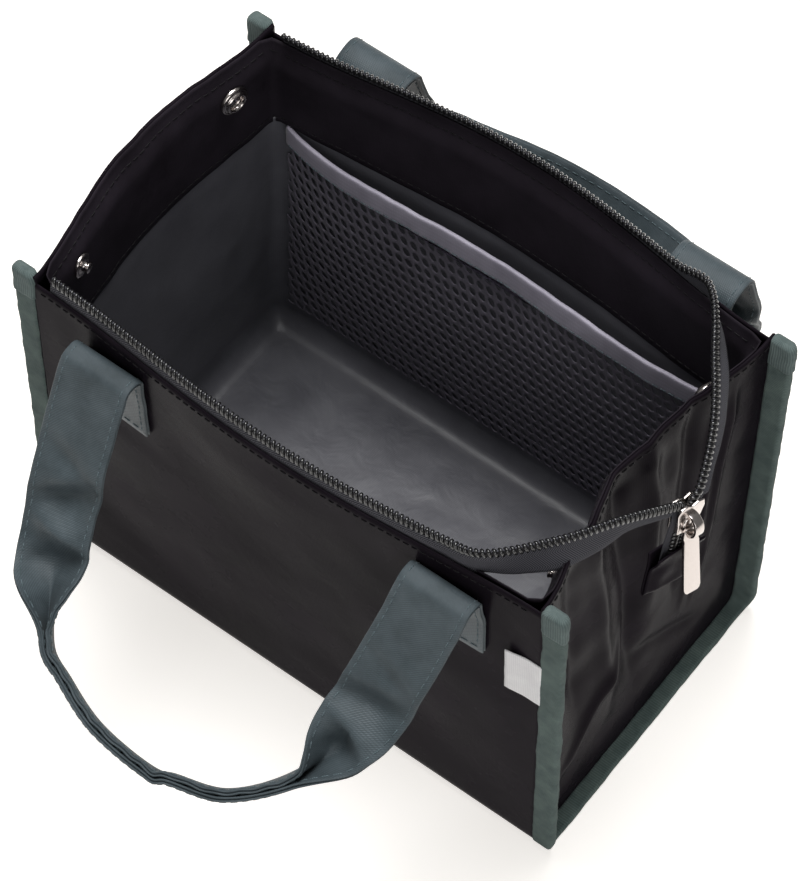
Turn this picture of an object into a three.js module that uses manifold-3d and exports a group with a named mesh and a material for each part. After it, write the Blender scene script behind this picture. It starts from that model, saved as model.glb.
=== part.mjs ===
// Insulated lunch bag: a cloth wrap and two side panels over foam, bound side seams,
// a zipped mouth whose tail hangs free at the right end, and two strap handles.
// Millimetres, +Z up. X runs along the bag, -Y is the front.
// The origin is the centre of the base, on the surface that the bag stands on.
import * as THREE from 'three';
import { mergeVertices } from 'three/addons/utils/BufferGeometryUtils.js';
import Module from 'manifold-3d';

// Body
const bodyWidth = 250; // outside, side panel to side panel
const bodyDepth = 148; // outside, front to back at the base
const rimHeight = 200; // top edge of the front and back walls
const gussetHeight = 203; // top edge of the side panels at the corners
const gussetDip = 1; // how far that edge hangs at its middle
const baseFold = 8; // outside radius where a wall turns into the base
const clothThickness = 0.8;
const foamThickness = 4;
const liningThickness = 0.6;
const facingHeight = 50; // black band inside the rim
const rimAllowance = 10; // the foam of front and back stops this far below the rim
const sideAllowance = 6; // the foam of the side panels
const layerGap = 0.3; // between neighbouring layers
const cornerGap = 1.2; // between layers that meet at an inside corner

// How the cloth stands with the mouth open
const frontSpread = 1; // the front leans out by this at the rim
const backSpread = 6; // the back leans out by this at the rim
const frontBow = 7.5; // outwards
const backBow = 13; // outwards
const leftBow = 11; // outwards
const rightBow = -12; // inwards
const bowRise = 1.6; // exponent of the bow's growth with height

// Side seam binding
const bindingReach = 10; // stands out past the side panel
const bindingThickness = 3.2;
const bindingTop = 204;

// Mesh pocket on the back wall
const pocketHeight = 138; // lower edge of its binding
const pocketBindingHeight = 10;
const pocketSlack = 9; // stands off the lining at its middle
const netThickness = 0.8;
const netBar = 3;
const netColumns = 12;
const netRows = 7;
const pocketInset = 6; // clear of the side lining
const pocketSeamHeight = 12; // bottom seam above the base

// Zip
const coilDiameter = 2.8;
const tapeWidth = 13;
const tapeThickness = 0.7;
const tapeRise = 4.5; // coil above the rim
const zipDepth = 3; // coil behind the outer face of the wall
const zipStartInset = 8; // first tooth from the left corner
const zipLeaveInset = 48; // where the tape leaves the rim, from the right corner
const zipLift = { run: 16, rise: 6 }; // the tape comes up out of the seam
const zipCross = { inset: 11, fromWall: 22, rise: 10 }; // it passes over the side panel's edge
const zipOut = { reach: 3, fromWall: 46, rise: 6 }; // it hangs outside the side panel
const zipBend = { radius: 10, turn: 62, lead: 0.8 }; // the two halves part above the slider
const tapeFreeWidth = 10; // where it is not sewn in
const chainGap = 2; // between the two coil halves in the slider
const sliderOut = 13.5; // slider past the right side panel
const sliderAside = -0.8; // from the middle, towards the front
const sliderDrop = 14; // slider below the rim
const tailLean = 14; // degrees, the tail hangs towards the front
const tailTurn = 14; // degrees, the tail's face turns towards the front
const sliderLength = 11;
const sliderPlate = 1.2;
const sliderLip = 0.5;
const sliderClear = 0.3;
const sliderTravel = 10;
const bridgeRadius = 4.4;
const bridgeWire = 1.6;
const pullLength = 30.5;
const pullWidth = 8.5;
const pullThickness = 1.4;
const pullEyeWall = 1.1;
const pullLift = 17; // degrees off the slider at rest
const endTabLength = 23;
const endTabWidth = 25;
const endTabCloth = 1;
const tailInTab = 10;

// Handles
const strapWidth = 33;
const strapThickness = 2.2;
const strapSpacing = 166; // centre to centre of the two ends
const gripGap = 0.6; // between the two halves of the folded grip
const foldLength = 42; // run over which the strap folds in half
const tiltRun = [60, 120]; // reach over which the leg's slope eases to the grip's
const foldEnd = 172; // degrees round the fold, where the strap meets its tab
const tabLength = 42;
const tabRise = 2; // the tab reaches this far above the fold's centre
// Tilts are in degrees below level, and the folded grip leans to the right by gripLean.
// Each leg's places are [share of half the strap spacing, reach from the fold], then the grip's middle
const frontFold = {
  radius: 5, height: 185, legTilt: 58, gripTilt: 24, gripLean: 17,
  left: [[0.961, 40], [0.871, 80], [0.667, 114], [0.497, 121.3], [0.226, 129.6]],
  right: [[0.958, 35.4], [0.888, 70.7], [0.739, 101], [0.497, 122.4], [0.226, 129.6]],
  middle: [0.154, 131.8],
};
const backFold = {
  radius: 8.5, height: 184, legTilt: 76, gripTilt: 45, gripLean: 0,
  left: [[0.99, 36], [0.915, 72], [0.765, 103], [0.505, 123], [0.23, 134]],
  right: [[0.99, 36], [0.915, 72], [0.765, 103], [0.505, 123], [0.23, 134]],
  middle: [0, 137],
};
const pinchPlace = 2; // which of these places is folded shut

// Snaps inside the side panels
const socketInset = 28; // from the back corner of the side panel
const studInset = 24; // from the front corner
const snapDrop = 14; // below the rim
const socketDiameter = 13;
const studDiameter = 11;
const snapPost = 4;
const snapFlange = 1;
const snapHeight = 2.6;
const socketShoulder = 1.6; // straight side of the socket's ring
const studHead = 0.5; // the stud's head is wider than its neck by this each side
const studHeadHeight = 3.8;

// Blank label in the front right seam
const labelWidth = 16.5;
const labelHeight = 34;
const labelThickness = 0.6;
const labelBottom = 125;

const wasm = await Module();
wasm.setup();

const finish = (color, roughness, metalness = 0) =>
  new THREE.MeshStandardMaterial({ color, roughness, metalness });
const nylon = finish(0x2b282b, 0.5);
const facingCloth = finish(0x242225, 0.55);
const liningCloth = finish(0x515157, 0.4);
const foam = finish(0xdcdcd6, 0.9);
const strapCloth = finish(0x3c4848, 0.55);
const bindingTape = finish(0x47544e, 0.7);
const zipTape = finish(0x1d1c1e, 0.8);
const coilPlastic = finish(0x141415, 0.3);
const nickel = finish(0xd6d0cd, 0.22, 1);
const netYarn = finish(0x1f1e20, 0.8);
const pocketTape = finish(0x6b6670, 0.7);
const labelCloth = finish(0xf1f1ef, 0.75);

const bag = new THREE.Group();
const vec = (x, y, z) => new THREE.Vector3(x, y, z);
const rad = THREE.MathUtils.degToRad;
const halfWidth = bodyWidth / 2;
const halfDepth = bodyDepth / 2;

// Depths of the layers below the outer face
const foamOuter = clothThickness + layerGap;
const foamInner = foamOuter + foamThickness;
const liningOuter = foamInner + layerGap;
const liningInner = liningOuter + liningThickness;

// Geometry helpers

function signedVolume(points, triangles) {
  let volume = 0;
  for (const [a, b, c] of triangles) {
    volume += points[a].dot(points[b].clone().cross(points[c]));
  }
  return volume / 6;
}

function solidGeometry(points, triangles) {
  const outward = signedVolume(points, triangles) > 0;
  const geometry = new THREE.BufferGeometry();
  const places = points.flatMap((p) => p.toArray());
  geometry.setAttribute('position', new THREE.Float32BufferAttribute(places, 3));
  geometry.setIndex(triangles.flatMap(([a, b, c]) => (outward ? [a, b, c] : [a, c, b])));
  geometry.computeVertexNormals();
  return geometry;
}

function addPiece(name, geometry, material, parent = bag) {
  const mesh = new THREE.Mesh(geometry, material);
  mesh.name = name;
  parent.add(mesh);
  return mesh;
}

// A sheet between two grids of points
function sheet(rows, columns, outer, inner) {
  const points = [];
  for (const side of [outer, inner]) {
    for (let i = 0; i <= rows; i += 1) {
      for (let j = 0; j <= columns; j += 1) points.push(side(i, j));
    }
  }
  const perSide = (rows + 1) * (columns + 1);
  const at = (side, i, j) => side * perSide + i * (columns + 1) + j;
  const triangles = [];
  const quad = (a, b, c, d) => triangles.push([a, b, c], [a, c, d]);
  for (let i = 0; i < rows; i += 1) {
    for (let j = 0; j < columns; j += 1) {
      quad(at(0, i, j), at(0, i, j + 1), at(0, i + 1, j + 1), at(0, i + 1, j));
      quad(at(1, i, j), at(1, i + 1, j), at(1, i + 1, j + 1), at(1, i, j + 1));
    }
  }
  for (let i = 0; i < rows; i += 1) {
    quad(at(0, i, 0), at(0, i + 1, 0), at(1, i + 1, 0), at(1, i, 0));
    quad(at(0, i + 1, columns), at(0, i, columns), at(1, i, columns), at(1, i + 1, columns));
  }
  for (let j = 0; j < columns; j += 1) {
    quad(at(0, 0, j + 1), at(0, 0, j), at(1, 0, j), at(1, 0, j + 1));
    quad(at(0, rows, j), at(0, rows, j + 1), at(1, rows, j + 1), at(1, rows, j));
  }
  return solidGeometry(points, triangles);
}

// A bar through a list of closed sections, each with the same number of points
function loft(sections) {
  const size = sections[0].length;
  const points = sections.flat();
  const triangles = [];
  for (let i = 0; i + 1 < sections.length; i += 1) {
    for (let j = 0; j < size; j += 1) {
      const k = (j + 1) % size;
      const a = i * size + j;
      const b = i * size + k;
      triangles.push([a, b, b + size], [a, b + size, a + size]);
    }
  }
  const last = (sections.length - 1) * size;
  for (const offset of [0, last]) {
    const middle = vec(0, 0, 0);
    for (let j = 0; j < size; j += 1) middle.addScaledVector(points[offset + j], 1 / size);
    const centre = points.push(middle) - 1;
    for (let j = 0; j < size; j += 1) {
      const edge = [offset + j, offset + ((j + 1) % size)];
      triangles.push(offset === 0 ? [centre, edge[1], edge[0]] : [centre, edge[0], edge[1]]);
    }
  }
  return solidGeometry(points, triangles);
}

function toManifold(geometry) {
  const bare = geometry.clone();
  bare.deleteAttribute('normal');
  bare.deleteAttribute('uv');
  const merged = mergeVertices(bare, 1e-4);
  return new wasm.Manifold(new wasm.Mesh({
    numProp: 3,
    vertProperties: new Float32Array(merged.attributes.position.array),
    triVerts: new Uint32Array(merged.index.array),
  }));
}

function fromManifold(solid) {
  const { vertProperties, triVerts } = solid.getMesh();
  const geometry = new THREE.BufferGeometry();
  geometry.setAttribute('position', new THREE.Float32BufferAttribute(vertProperties, 3));
  geometry.setIndex(new THREE.BufferAttribute(triVerts, 1));
  geometry.computeVertexNormals();
  return geometry;
}

const cut = (geometry, tools) =>
  fromManifold(tools.reduce((solid, tool) => solid.subtract(toManifold(tool)), toManifold(geometry)));

// How the sewn box settles: the rim spreads and the walls bow
function settle(p) {
  const height = Math.max(p.z, 0) / rimHeight;
  const fx = THREE.MathUtils.clamp(p.x / halfWidth, -1, 1);
  const fy = THREE.MathUtils.clamp(p.y / halfDepth, -1, 1);
  const rise = height ** bowRise;
  const alongWall = (1 - fx * fx) ** 2;
  const acrossSide = (1 - fy * fy) ** 2;
  const spread = p.y < 0 ? frontSpread : backSpread;
  const bowY = p.y < 0 ? -frontBow : backBow;
  const bowX = p.x < 0 ? -leftBow : rightBow;
  return vec(
    p.x + bowX * acrossSide * rise,
    p.y + spread * fy * height + bowY * alongWall * rise,
    p.z,
  );
}

// Front (side -1) or back (side 1) wall, at a depth below its outer face
const wallPoint = (side, x, z, depth) => settle(vec(x, side * (halfDepth - depth), z));
// Left (side -1) or right (side 1) panel
const sidePoint = (side, y, z, depth) => settle(vec(side * (halfWidth - depth), y, z));
const span = (low, high, i, count) => low + ((high - low) * i) / count;

const wallColumns = 14;
const wallRows = 7;
const sideColumns = 14;
const panelRows = 12;
const facingRows = 4;
const foldSteps = 3;
const baseRows = 5;

// Cloth that runs down the front, under the base and up the back
function wrapPoint(i, x, top, depth) {
  const radius = baseFold - depth;
  const stations = [wallRows, foldSteps, baseRows, foldSteps, wallRows];
  let k = i;
  let part = 0;
  while (k > stations[part]) {
    k -= stations[part];
    part += 1;
  }
  const inset = halfDepth - baseFold;
  const turn = (k / foldSteps) * (Math.PI / 2);
  if (part === 0) return wallPoint(-1, x, span(top, baseFold, k, wallRows), depth);
  const swing = [radius * Math.cos(turn), radius * Math.sin(turn)];
  if (part === 1) return settle(vec(x, -inset - swing[0], baseFold - swing[1]));
  if (part === 2) return settle(vec(x, span(-inset, inset, k, baseRows), depth));
  if (part === 3) return settle(vec(x, inset + swing[1], baseFold - swing[0]));
  return wallPoint(1, x, span(baseFold, top, k, wallRows), depth);
}
const wrapRows = 2 * (wallRows + foldSteps) + baseRows;

function wrapSheet(lowX, highX, columns, top, outerDepth, innerDepth) {
  const at = (depth) => (i, j) => wrapPoint(i, span(lowX, highX, j, columns), top, depth);
  return sheet(wrapRows, columns, at(outerDepth), at(innerDepth));
}

function wallSheet(side, lowX, highX, lowZ, highZ, rows, outerDepth, innerDepth) {
  const columns = Math.max(2, Math.ceil(((highX - lowX) / bodyWidth) * wallColumns));
  const at = (depth) => (i, j) =>
    wallPoint(side, span(lowX, highX, j, columns), span(lowZ, highZ, i, rows), depth);
  return sheet(rows, columns, at(outerDepth), at(innerDepth));
}

// Side panel layer; the lower corners follow the base fold where cornerRadius says so
const gussetTop = (y) => gussetHeight - gussetDip * (1 - (y / halfDepth) ** 2);

function sideSheet(side, reach, lowZ, highOf, rows, outerDepth, innerDepth, cornerRadius = 0) {
  const at = (depth) => (i, j) => {
    const share = span(-1, 1, j, sideColumns);
    const z = span(lowZ, highOf(share * reach), i, rows);
    const drop = Math.max(0, lowZ + cornerRadius - z);
    const narrow = cornerRadius - Math.sqrt(Math.max(0, cornerRadius ** 2 - drop ** 2));
    return sidePoint(side, share * (reach - narrow), z, depth);
  };
  return sheet(rows, sideColumns, at(outerDepth), at(innerDepth));
}

// Outer cloth
addPiece('outer_wrap', wrapSheet(-halfWidth, halfWidth, wallColumns, rimHeight, 0, clothThickness), nylon);
const sideNames = { '-1': 'left', 1: 'right' };
const wallNames = { '-1': 'front', 1: 'back' };
const panelReach = halfDepth - clothThickness - layerGap;
const panelCorner = baseFold - clothThickness - layerGap;
for (const side of [-1, 1]) {
  const panel = sideSheet(side, panelReach, foamOuter, gussetTop, panelRows, 0, clothThickness, panelCorner);
  addPiece(`side_panel_${sideNames[side]}`, panel, nylon);
}

// Foam
const foamTop = rimHeight - rimAllowance;
const foamHalfWidth = halfWidth - clothThickness - layerGap - cornerGap;
for (const side of [-1, 1]) {
  const reach = foamHalfWidth;
  const wall = wallSheet(side, -reach, reach, baseFold, foamTop, wallRows, foamOuter, foamInner);
  addPiece(`foam_${wallNames[side]}`, wall, foam);
}
const baseReach = halfDepth - baseFold;
const baseLayer = (depth) => (i, j) =>
  vec(span(-foamHalfWidth, foamHalfWidth, j, wallColumns), span(-baseReach, baseReach, i, baseRows), depth);
addPiece('foam_base', sheet(baseRows, wallColumns, baseLayer(foamOuter), baseLayer(foamInner)), foam);

// Snap places: the socket is towards the back, the stud towards the front
const snapZ = rimHeight - snapDrop;
const snapKinds = {
  socket: { y: halfDepth - socketInset, width: socketDiameter },
  stud: { y: studInset - halfDepth, width: studDiameter },
};
function snapFrame(side, y) {
  const at = (dy, dz) => sidePoint(side, y + dy, snapZ + dz, liningInner);
  const origin = at(0, 0);
  const up = at(0, 1).sub(at(0, -1)).normalize();
  const along = at(1, 0).sub(at(-1, 0)).normalize();
  const inward = along.clone().cross(up).multiplyScalar(side).negate().normalize();
  const frame = new THREE.Matrix4().makeBasis(up.clone().cross(inward).normalize(), up, inward);
  return frame.setPosition(origin);
}
const snapSegments = 12;
// A round piece turned about the snap's own axis, from radius and height pairs
const turned = (pairs, frame) => {
  const geometry = new THREE.LatheGeometry(pairs.map(([r, h]) => new THREE.Vector2(r, h)), snapSegments);
  return geometry.rotateX(Math.PI / 2).applyMatrix4(frame);
};
const disc = (radius, low, high) => [[0, low], [radius, low], [radius, high], [0, high]];

const postHole = snapPost / 2 + layerGap;
const backDepth = liningThickness + layerGap;
const pocketReach = Math.max(socketDiameter, studDiameter) / 2 + layerGap;

for (const side of [-1, 1]) {
  const name = sideNames[side];
  const frames = { socket: snapFrame(side, snapKinds.socket.y), stud: snapFrame(side, snapKinds.stud.y) };
  const foamReach = halfDepth - foamInner - cornerGap;
  const foamEdge = (y) => gussetTop(y) - sideAllowance;
  const foamFoot = liningOuter + cornerGap;
  const foamBody = sideSheet(side, foamReach, foamFoot, foamEdge, wallRows, foamOuter, foamInner);
  const pockets = Object.values(frames).map((frame) =>
    turned(disc(pocketReach, -backDepth - snapFlange - cornerGap, -backDepth + cornerGap), frame));
  addPiece(`foam_${name}`, cut(foamBody, pockets), foam);

  const facingReach = halfDepth - liningInner - cornerGap;
  const facingLow = () => gussetHeight - facingHeight;
  const liningFoot = liningInner + cornerGap;
  const lining = sideSheet(side, facingReach, liningFoot, facingLow, wallRows, liningOuter, liningInner);
  addPiece(`lining_${name}`, lining, liningCloth);
  const facingFoot = facingLow() + layerGap;
  const facing = sideSheet(side, facingReach, facingFoot, gussetTop, facingRows, liningOuter, liningInner);
  const holeDisc = disc(postHole, -2 * backDepth, 2 * backDepth);
  const holes = Object.values(frames).map((frame) => turned(holeDisc, frame));
  addPiece(`facing_${name}`, cut(facing, holes), facingCloth);

  for (const [kind, { width }] of Object.entries(snapKinds)) {
    const rim = width / 2;
    const well = rim - snapHeight;
    const post = snapPost / 2;
    const face = kind === 'socket'
      ? [
        [rim, layerGap], [rim, socketShoulder], [rim - snapHeight / 2, snapHeight],
        [well, snapHeight], [well, snapFlange], [0, snapFlange],
      ]
      : [
        [rim, layerGap], [rim, snapFlange], [post + 2 * studHead, snapFlange + layerGap],
        [post, snapHeight], [post + studHead, studHeadHeight - layerGap], [0, studHeadHeight],
      ];
    const front = [[0, -backDepth + layerGap], [post, -backDepth + layerGap], [post, layerGap], ...face];
    addPiece(`snap_${kind}_${name}`, turned(front, frames[kind]), nickel);
    const backing = disc(rim - layerGap, -backDepth - snapFlange, -backDepth);
    addPiece(`snap_${kind}_${name}_backing`, turned(backing, frames[kind]), nickel);
  }
}

// Lining of front, base and back, with the facing above it
const liningHalfWidth = halfWidth - foamInner - cornerGap;
const facingBottom = rimHeight - facingHeight;
const reach = liningHalfWidth;
const liningWrap = wrapSheet(-reach, reach, wallColumns, facingBottom, liningOuter, liningInner);
addPiece('lining_wrap', liningWrap, liningCloth);
for (const side of [-1, 1]) {
  const bandFoot = facingBottom + layerGap;
  const band = wallSheet(side, -reach, reach, bandFoot, rimHeight, facingRows, liningOuter, liningInner);
  addPiece(`facing_${wallNames[side]}`, band, facingCloth);
}

// Bound side seams, standing out past the side panels
for (const side of [-1, 1]) {
  const near = side * (halfWidth + layerGap);
  const far = side * (halfWidth + bindingReach);
  const strip = wrapSheet(Math.min(near, far), Math.max(near, far), 1, bindingTop, 0, bindingThickness);
  addPiece(`binding_${sideNames[side]}`, strip, bindingTape);
}

// Mesh pocket: a slack net on the back lining, bound along its mouth
const netReach = liningHalfWidth - liningThickness - pocketInset;
const netBottom = baseFold + pocketSeamHeight;
const netDepth = liningInner + layerGap;
function netPoint(x, z, offset) {
  const rise = THREE.MathUtils.clamp((z - netBottom) / (pocketHeight - netBottom), 0, 1);
  const slack = pocketSlack * (1 - (x / netReach) ** 4) * Math.sin((rise * Math.PI) / 2);
  return wallPoint(1, x, z, netDepth + slack + offset);
}
// Lines of the lattice: bars and gaps by turns
function latticeLines(low, high, gaps) {
  const gap = (high - low - netBar * (gaps + 1)) / gaps;
  const lines = [low];
  for (let i = 0; i < 2 * gaps + 1; i += 1) lines.push(lines[i] + (i % 2 === 0 ? netBar : gap));
  return lines;
}
function netGeometry() {
  const xs = latticeLines(-netReach, netReach, netColumns);
  const zs = latticeLines(netBottom, pocketHeight - layerGap, netRows);
  const points = [];
  for (const offset of [0, netThickness]) {
    for (const z of zs) {
      for (const x of xs) points.push(netPoint(x, z, offset));
    }
  }
  const at = (side, i, j) => (side * zs.length + i) * xs.length + j;
  const solid = (i, j) =>
    i >= 0 && j >= 0 && i < zs.length - 1 && j < xs.length - 1 && !(i % 2 === 1 && j % 2 === 1);
  const triangles = [];
  const quad = (a, b, c, d) => triangles.push([a, b, c], [a, c, d]);
  for (let i = 0; i < zs.length - 1; i += 1) {
    for (let j = 0; j < xs.length - 1; j += 1) {
      if (!solid(i, j)) continue;
      quad(at(0, i, j), at(0, i, j + 1), at(0, i + 1, j + 1), at(0, i + 1, j));
      quad(at(1, i, j), at(1, i + 1, j), at(1, i + 1, j + 1), at(1, i, j + 1));
      if (!solid(i - 1, j)) quad(at(0, i, j + 1), at(0, i, j), at(1, i, j), at(1, i, j + 1));
      const [k, l] = [i + 1, j + 1];
      if (!solid(k, j)) quad(at(0, k, j), at(0, k, l), at(1, k, l), at(1, k, j));
      if (!solid(i, j - 1)) quad(at(0, i, j), at(0, k, j), at(1, k, j), at(1, i, j));
      if (!solid(i, l)) quad(at(0, k, l), at(0, i, l), at(1, i, l), at(1, k, l));
    }
  }
  return solidGeometry(points, triangles);
}
addPiece('mesh_pocket', netGeometry(), netYarn);
const hemColumns = 2 * netColumns;
const hemRows = 2;
const hemLayer = (offset) => (i, j) => {
  const x = span(-netReach, netReach, j, hemColumns);
  return netPoint(x, pocketHeight + span(0, pocketBindingHeight, i, hemRows), offset);
};
const bindingSlab = sheet(hemRows, hemColumns, hemLayer(0), hemLayer(2 * netThickness));
addPiece('mesh_pocket_binding', bindingSlab, pocketTape);

// Zip: slider frame, then each half of the chain
const chainOffset = (chainGap + coilDiameter) / 2;
const sliderAt = vec(halfWidth + sliderOut, sliderAside, rimHeight - sliderDrop);
const sliderGroup = new THREE.Group();
sliderGroup.position.copy(sliderAt);
sliderGroup.rotation.set(-rad(tailLean), 0, -rad(tailTurn));
bag.add(sliderGroup);
sliderGroup.updateMatrixWorld(true);
const fromSlider = (n, s, z) => vec(n, s, z).applyMatrix4(sliderGroup.matrixWorld);
const tailEnd = sliderLength / 2 + sliderTravel + layerGap + tailInTab;

// Centre line of one coil: along the rim, over the side panel's edge, into the slider, down the tail
const rimSteps = 8;
const bendSteps = 3;
const tailSteps = 3;
function coilRoute(side) {
  const rim = (x) => wallPoint(side, x, rimHeight, zipDepth).add(vec(0, 0, tapeRise));
  const leave = halfWidth - zipLeaveInset;
  const throat = sliderLength / 2;
  const points = [];
  const start = -halfWidth + zipStartInset;
  for (let i = 0; i <= rimSteps; i += 1) points.push(rim(span(start, leave, i, rimSteps)));
  points.push(rim(leave + zipLift.run).add(vec(0, 0, zipLift.rise)));
  const free = (x, fromWall, rise) => vec(x, side * (halfDepth - fromWall), rimHeight + rise);
  points.push(free(halfWidth - zipCross.inset, zipCross.fromWall, zipCross.rise));
  points.push(free(halfWidth + zipOut.reach, zipOut.fromWall, zipOut.rise));
  for (let i = bendSteps; i >= 0; i -= 1) {
    const turn = (rad(zipBend.turn) * i) / bendSteps;
    const away = chainOffset + zipBend.radius * (1 - Math.cos(turn));
    points.push(fromSlider(0, side * away, throat + zipBend.lead + zipBend.radius * Math.sin(turn)));
  }
  for (let i = 0; i <= tailSteps; i += 1) {
    points.push(fromSlider(0, side * chainOffset, span(throat, -tailEnd, i, tailSteps)));
  }
  return points;
}

// Frames along a coil: place, direction of the tape from the coil, the tape's face and width
function coilFrames(side) {
  const points = coilRoute(side);
  const curve = new THREE.CatmullRomCurve3(points, false, 'centripetal');
  const down = vec(0, 0, -1);
  const outward = fromSlider(0, side, 0).sub(sliderAt);
  const lifted = rimSteps + 1;
  const spans = points.length - 1;
  const perSpan = 3;
  const frames = [];
  for (let i = 0; i <= spans * perSpan; i += 1) {
    const along = i / perSpan;
    const tangent = curve.getTangent(along / spans);
    const across = down.clone().lerp(outward, THREE.MathUtils.smoothstep(along, lifted, lifted + 1));
    across.addScaledVector(tangent, -across.dot(tangent)).normalize();
    const freed = THREE.MathUtils.smoothstep(along, lifted - 1, lifted);
    frames.push({
      at: curve.getPoint(along / spans),
      across,
      face: tangent.clone().cross(across).normalize(),
      width: THREE.MathUtils.lerp(tapeWidth, tapeFreeWidth, freed),
    });
  }
  return frames;
}
const coilSides = 6;
for (const side of [-1, 1]) {
  const frames = coilFrames(side);
  const coil = frames.map(({ at, across, face }) =>
    Array.from({ length: coilSides }, (_, k) => {
      const turn = (2 * Math.PI * k) / coilSides;
      return at.clone()
        .addScaledVector(across, (coilDiameter / 2) * Math.cos(turn))
        .addScaledVector(face, (coilDiameter / 2) * Math.sin(turn));
    }));
  addPiece(`zip_coil_${wallNames[side]}`, loft(coil), coilPlastic);
  const tape = frames.map(({ at, across, face, width }) => {
    const near = coilDiameter / 2 + layerGap;
    const corner = (reach, lift) => at.clone().addScaledVector(across, reach).addScaledVector(face, lift);
    const lift = tapeThickness / 2;
    return [corner(near, -lift), corner(width, -lift), corner(width, lift), corner(near, lift)];
  });
  addPiece(`zip_tape_${wallNames[side]}`, loft(tape), zipTape);
}

// Slider: two plates with lips, joined by a web that parts the chain, and a bridge for the pull
const channelHalf = coilDiameter / 2 + sliderClear;
const plateOuter = channelHalf + sliderPlate;
const plateHalf = chainOffset + coilDiameter / 2 + sliderClear + sliderLip;
const lipHalf = tapeThickness / 2 + sliderClear;
const webHalf = chainGap / 2 - sliderClear;
const beam = new THREE.Shape();
const quarter = [
  [webHalf, channelHalf], [plateHalf - sliderLip, channelHalf], [plateHalf - sliderLip, lipHalf],
  [plateHalf, lipHalf], [plateHalf, plateOuter],
];
const mirrored = (sx, sn) => quarter.map(([s, n]) => new THREE.Vector2(sx * s, sn * n));
beam.setFromPoints([
  ...mirrored(1, 1), ...mirrored(-1, 1).reverse(),
  ...mirrored(-1, -1), ...mirrored(1, -1).reverse(),
]);
const toSliderAxes = new THREE.Matrix4().makeBasis(vec(0, 1, 0), vec(1, 0, 0), vec(0, 0, -1));
const beamBody = new THREE.ExtrudeGeometry(beam, { depth: sliderLength, bevelEnabled: false });
beamBody.applyMatrix4(toSliderAxes).translate(0, 0, sliderLength / 2);
const bridgeCentre = plateOuter + pullThickness / 2 + sliderClear;
const bridgeFoot = plateOuter - sliderPlate / 2;
const bridgeSteps = 10;
const bridgeSides = 8;
const bridgeSection = (turn, n) => {
  const out = vec(Math.sin(turn), 0, Math.cos(turn));
  const at = vec(n, 0, 0).addScaledVector(out, bridgeRadius);
  return Array.from({ length: bridgeSides }, (_, k) => {
    const spin = (2 * Math.PI * k) / bridgeSides;
    const sideways = vec(0, (bridgeWire / 2) * Math.sin(spin), 0);
    return at.clone().addScaledVector(out, (bridgeWire / 2) * Math.cos(spin)).add(sideways);
  });
};
const bridgeSections = Array.from({ length: bridgeSteps + 1 }, (_, i) =>
  bridgeSection(span(0, Math.PI, i, bridgeSteps), bridgeCentre));
bridgeSections.unshift(bridgeSection(0, bridgeFoot));
bridgeSections.push(bridgeSection(Math.PI, bridgeFoot));
const sliderBody = toManifold(beamBody).add(toManifold(loft(bridgeSections)));
addPiece('zip_slider', fromManifold(sliderBody), nickel, sliderGroup);

// Pull: a flat bar whose eye runs round the bridge
const pullGroup = new THREE.Group();
pullGroup.position.set(bridgeCentre, 0, 0);
pullGroup.rotation.y = -rad(pullLift);
sliderGroup.add(pullGroup);
const eyeInner = bridgeRadius - bridgeWire / 2 - layerGap;
const eyeOuter = bridgeRadius + bridgeWire / 2 + layerGap;
const eyeHalf = bridgeWire / 2 + layerGap;
const pullTop = eyeInner - pullEyeWall;
const pullShape = new THREE.Shape();
const pullHalf = pullWidth / 2;
const neckHalf = eyeHalf + pullEyeWall;
pullShape.moveTo(-neckHalf, -pullTop);
pullShape.lineTo(neckHalf, -pullTop);
pullShape.lineTo(neckHalf, -eyeOuter - pullEyeWall);
pullShape.lineTo(pullHalf, -eyeOuter - 2 * pullEyeWall);
pullShape.lineTo(pullHalf, -pullTop - pullLength + pullHalf);
pullShape.absarc(0, -pullTop - pullLength + pullHalf, pullHalf, 0, -Math.PI, true);
pullShape.lineTo(-pullHalf, -eyeOuter - 2 * pullEyeWall);
pullShape.lineTo(-neckHalf, -eyeOuter - pullEyeWall);
const eye = new THREE.Path();
eye.setFromPoints([[-eyeHalf, -eyeInner], [-eyeHalf, -eyeOuter], [eyeHalf, -eyeOuter], [eyeHalf, -eyeInner]]
  .map(([s, z]) => new THREE.Vector2(s, z)));
pullShape.holes.push(eye);
const flatBar = { depth: pullThickness, bevelEnabled: false, curveSegments: 8 };
const pullBody = new THREE.ExtrudeGeometry(pullShape, flatBar);
pullBody.translate(0, 0, -pullThickness / 2);
pullBody.applyMatrix4(new THREE.Matrix4().makeBasis(vec(0, 1, 0), vec(0, 0, 1), vec(1, 0, 0)));
addPiece('zip_pull', pullBody, nickel, pullGroup);

// End tab: cloth folded over the end of the tail
const tabInner = coilDiameter / 2 + layerGap;
const tabOuter = tabInner + endTabCloth;
const tabTop = -(sliderLength / 2 + sliderTravel + layerGap);
const tabFold = tabTop - endTabLength;
const tabShape = new THREE.Shape();
tabShape.moveTo(tabInner, tabTop);
tabShape.lineTo(tabOuter, tabTop);
tabShape.lineTo(tabOuter, tabFold + tabOuter);
tabShape.absarc(0, tabFold + tabOuter, tabOuter, 0, -Math.PI, true);
tabShape.lineTo(-tabOuter, tabTop);
tabShape.lineTo(-tabInner, tabTop);
tabShape.lineTo(-tabInner, tabFold + tabOuter);
tabShape.absarc(0, tabFold + tabOuter, tabInner, Math.PI, 2 * Math.PI, false);
const foldedCloth = { depth: endTabWidth, bevelEnabled: false, curveSegments: 6 };
const tabBody = new THREE.ExtrudeGeometry(tabShape, foldedCloth);
tabBody.translate(0, 0, -endTabWidth / 2);
tabBody.applyMatrix4(new THREE.Matrix4().makeBasis(vec(1, 0, 0), vec(0, 0, 1), vec(0, -1, 0)));
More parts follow.
